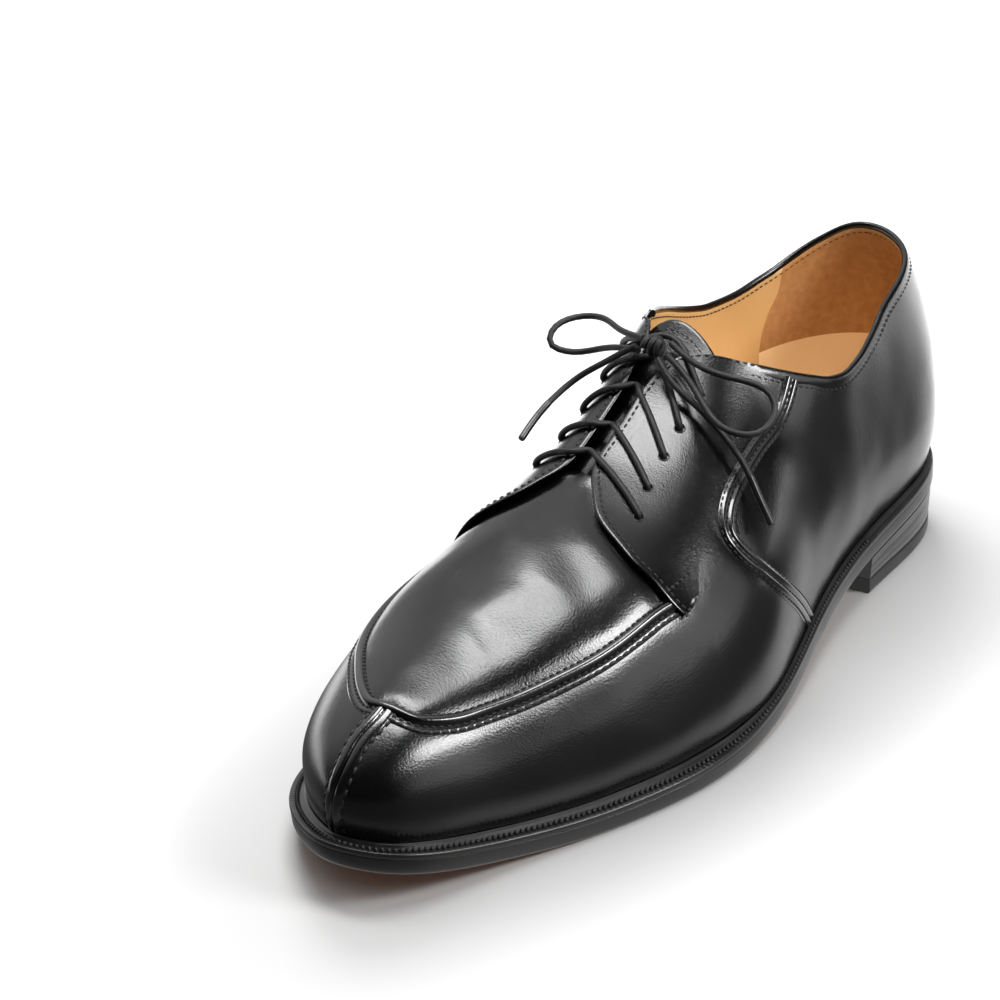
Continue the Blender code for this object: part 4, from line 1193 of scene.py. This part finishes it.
lace_cord("bow_loop_medial", LOOP_MEDIAL, "lace_loop_medial")
lace_cord("bow_loop_lateral", LOOP_LATERAL, "lace_loop_lateral")
lace_cord("bow_end_medial", END_MEDIAL, "lace_end_medial", lace_tip("tip_medial", END_MEDIAL))
lace_cord("bow_end_lateral", END_LATERAL, "lace_end_lateral", lace_tip("tip_lateral", END_LATERAL))


# Studio
# A pale floor, a softbox overhead and a second one at the shoe's outer side. A fill in front and a
# lamp behind stay out of the polish. In the polish the floor is painted dark, with a painted glow near the
# shoe and behind its heel that paints a sheen on the shoe's lower sides and a highlight on its heel.

FLOOR_HALF, FLOOR_BELOW = 6.0, 0.0002
# Half width and half length of the shaded floor, and its shift to the heel as a share of the latter
SHADE_ACROSS, SHADE_ALONG, SHADE_BACK = 0.06, 0.17, 0.35
# Smooth steps of the floor's own glow, which is painted light: outward from the shade, keeping the far floor
# white and falling away towards the shoe; then, seen only in the polish, near the shoe as a painted sheen on
# its lower sides, and out behind the heel as a painted highlight on the heel
FLOOR_PAINTED_GLOW = (1.2, 2.4, 0.0, 0.45)
NEAR_PAINTED_SHEEN, HEEL_PAINTED_HIGHLIGHT = (1.12, 1.45, 0.7, 0.0), (0.05, 0.40, 0.04, 2.1)
BEHIND_HEEL = (-1.2, 1.0, 0.0)
# Floor colour for the camera and other rays, and the painted dark floor that the polish sees instead
FLOOR_PALE, FLOOR_PAINTED_DARK = (0.42, 0.42, 0.42, 1), (0.01, 0.01, 0.01, 1)

floor_mesh = bpy.data.meshes.new("floor")
corner_signs = ((-1, -1), (1, -1), (1, 1), (-1, 1))
floor_corners = [(x * FLOOR_HALF, y * FLOOR_HALF, -FLOOR_BELOW) for x, y in corner_signs]
floor_mesh.from_pydata(floor_corners, [], [(0, 1, 2, 3)])
floor_paint = bpy.data.materials.new("floor_white")
floor_paint.use_nodes = True
floor_tree = floor_paint.node_tree
floor_shader = floor_tree.nodes["Principled BSDF"]
floor_shader.inputs["Roughness"].default_value = 0.7
floor_shader.inputs["Emission Strength"].default_value = 1.0


def fade_over(tree, source, values):
    """A smooth step of a value: from, to, then the two results."""
    return map_range(tree, source, values, interpolation_type="SMOOTHSTEP")


floor_place = add_node(floor_tree, "TexCoord").outputs["Object"]
by_outline = add_node(floor_tree, "VectorMath", {
    0: floor_place, 1: (1 / SHADE_ACROSS, 1 / SHADE_ALONG, 0.0), 2: (0.0, -SHADE_BACK, 0.0)},
    operation="MULTIPLY_ADD")
away = add_node(floor_tree, "VectorMath", {0: by_outline.outputs["Vector"]}, operation="LENGTH")
behind_heel = add_node(floor_tree, "VectorMath", {0: floor_place, 1: BEHIND_HEEL}, operation="DOT_PRODUCT")
# Glow seen only in the polish: a painted reflection near the shoe and a painted highlight from behind the
# heel
painted_reflection_glow = add_node(floor_tree, "Math", {
    0: fade_over(floor_tree, away.outputs["Value"], NEAR_PAINTED_SHEEN),
    1: fade_over(floor_tree, behind_heel.outputs["Value"], HEEL_PAINTED_HIGHLIGHT)})
# Painted glow that keeps the far floor white and is absent in the shade round the shoe
painted_plain_glow = fade_over(floor_tree, away.outputs["Value"], FLOOR_PAINTED_GLOW)
ray = add_node(floor_tree, "LightPath")
# Glossy rays see the painted dark floor and its painted glow; all other rays see the pale floor
for socket, plain, painted_in_polish in (("Base Color", FLOOR_PALE, FLOOR_PAINTED_DARK),
                                      ("Emission Color", painted_plain_glow, painted_reflection_glow.outputs["Value"])):
    choice = add_node(floor_tree, "Mix", {
        "Factor": ray.outputs["Is Glossy Ray"], 6: plain, 7: painted_in_polish}, data_type="RGBA")
    floor_tree.links.new(choice.outputs[2], floor_shader.inputs[socket])
floor_mesh.materials.append(floor_paint)
floor = bpy.data.objects.new("floor", floor_mesh)
bpy.context.scene.collection.objects.link(floor)


def softbox(name, location, target, size, watts, in_polish=True):
    """A rectangular lamp turned to a target, seen in the polish or not."""
    lamp = bpy.data.lights.new(name, "AREA")
    lamp.shape = "RECTANGLE"
    lamp.size, lamp.size_y = size
    lamp.energy = watts
    holder = bpy.data.objects.new(name, lamp)
    holder.location = location
    holder.rotation_euler = (Vector(target) - Vector(location)).to_track_quat("-Z", "Y").to_euler()
    holder.visible_glossy = in_polish
    bpy.context.scene.collection.objects.link(holder)


softbox("softbox_top", (-0.15, 0.12, 1.28), (-0.15, 0.12, 0), (1.05, 0.34), 15)
softbox("softbox_side", (0.93, 0.18, 0.74), (0, 0, 0.04), (0.45, 0.30), 11)
softbox("softbox_fill", (0.55, -0.65, 1.05), (0, 0.05, 0.05), (0.7, 0.7), 4.5, in_polish=False)
softbox("softbox_back", (-0.55, 0.60, 0.95), (0, 0, 0), (0.5, 0.5), 14, in_polish=False)

world = bpy.data.worlds.new("studio")
world.use_nodes = True
bpy.context.scene.world = world
room = world.node_tree
background = room.nodes["Background"]
background.inputs["Color"].default_value = (1, 1, 1, 1)
# Bright parts of the room: direction, smooth step over the closeness to it
ROOM = (((-0.54, 0.35, 0.77), (0.4, 0.95, 0.02, 0.75)), ((0.93, 0.34, 0.12), (0.87, 0.98, 0.0, 1.6)))
direction = add_node(room, "TexCoord").outputs["Generated"]
bright = []
for way, values in ROOM:
    closeness = add_node(room, "VectorMath", {0: direction, 1: way}, operation="DOT_PRODUCT")
    bright.append(fade_over(room, closeness.outputs["Value"], values))
both = add_node(room, "Math", {0: bright[0], 1: bright[1]})
room.links.new(both.outputs["Value"], background.inputs["Strength"])
bpy.context.scene.view_settings.view_transform = "Standard"


# Camera
# The photograph's own angle: high in front of the shoe's outer side, turned a little.

AZIMUTH, ELEVATION, ROLL = radians(39.043), radians(25.133), radians(-4.986)
DISTANCE = 0.937936
TARGET = Vector((-0.051302, -0.004139, 0.050524))
LENS = 108.0

back = Vector((np.sin(AZIMUTH) * np.cos(ELEVATION), -np.cos(AZIMUTH) * np.cos(ELEVATION), np.sin(ELEVATION)))
right = Vector((np.cos(AZIMUTH), np.sin(AZIMUTH), 0))
upward = back.cross(right)
rolled_right = right * np.cos(ROLL) + upward * np.sin(ROLL)
rolled_up = upward * np.cos(ROLL) - right * np.sin(ROLL)
camera = bpy.data.cameras.new("camera")
camera.lens = LENS
camera.sensor_width = 36.0
camera.clip_start = 0.01
holder = bpy.data.objects.new("camera", camera)
holder.matrix_world = Matrix.Translation(TARGET + back * DISTANCE) @ Matrix(
    (rolled_right, rolled_up, back)).transposed().to_4x4()
bpy.context.scene.collection.objects.link(holder)
bpy.context.scene.camera = holder
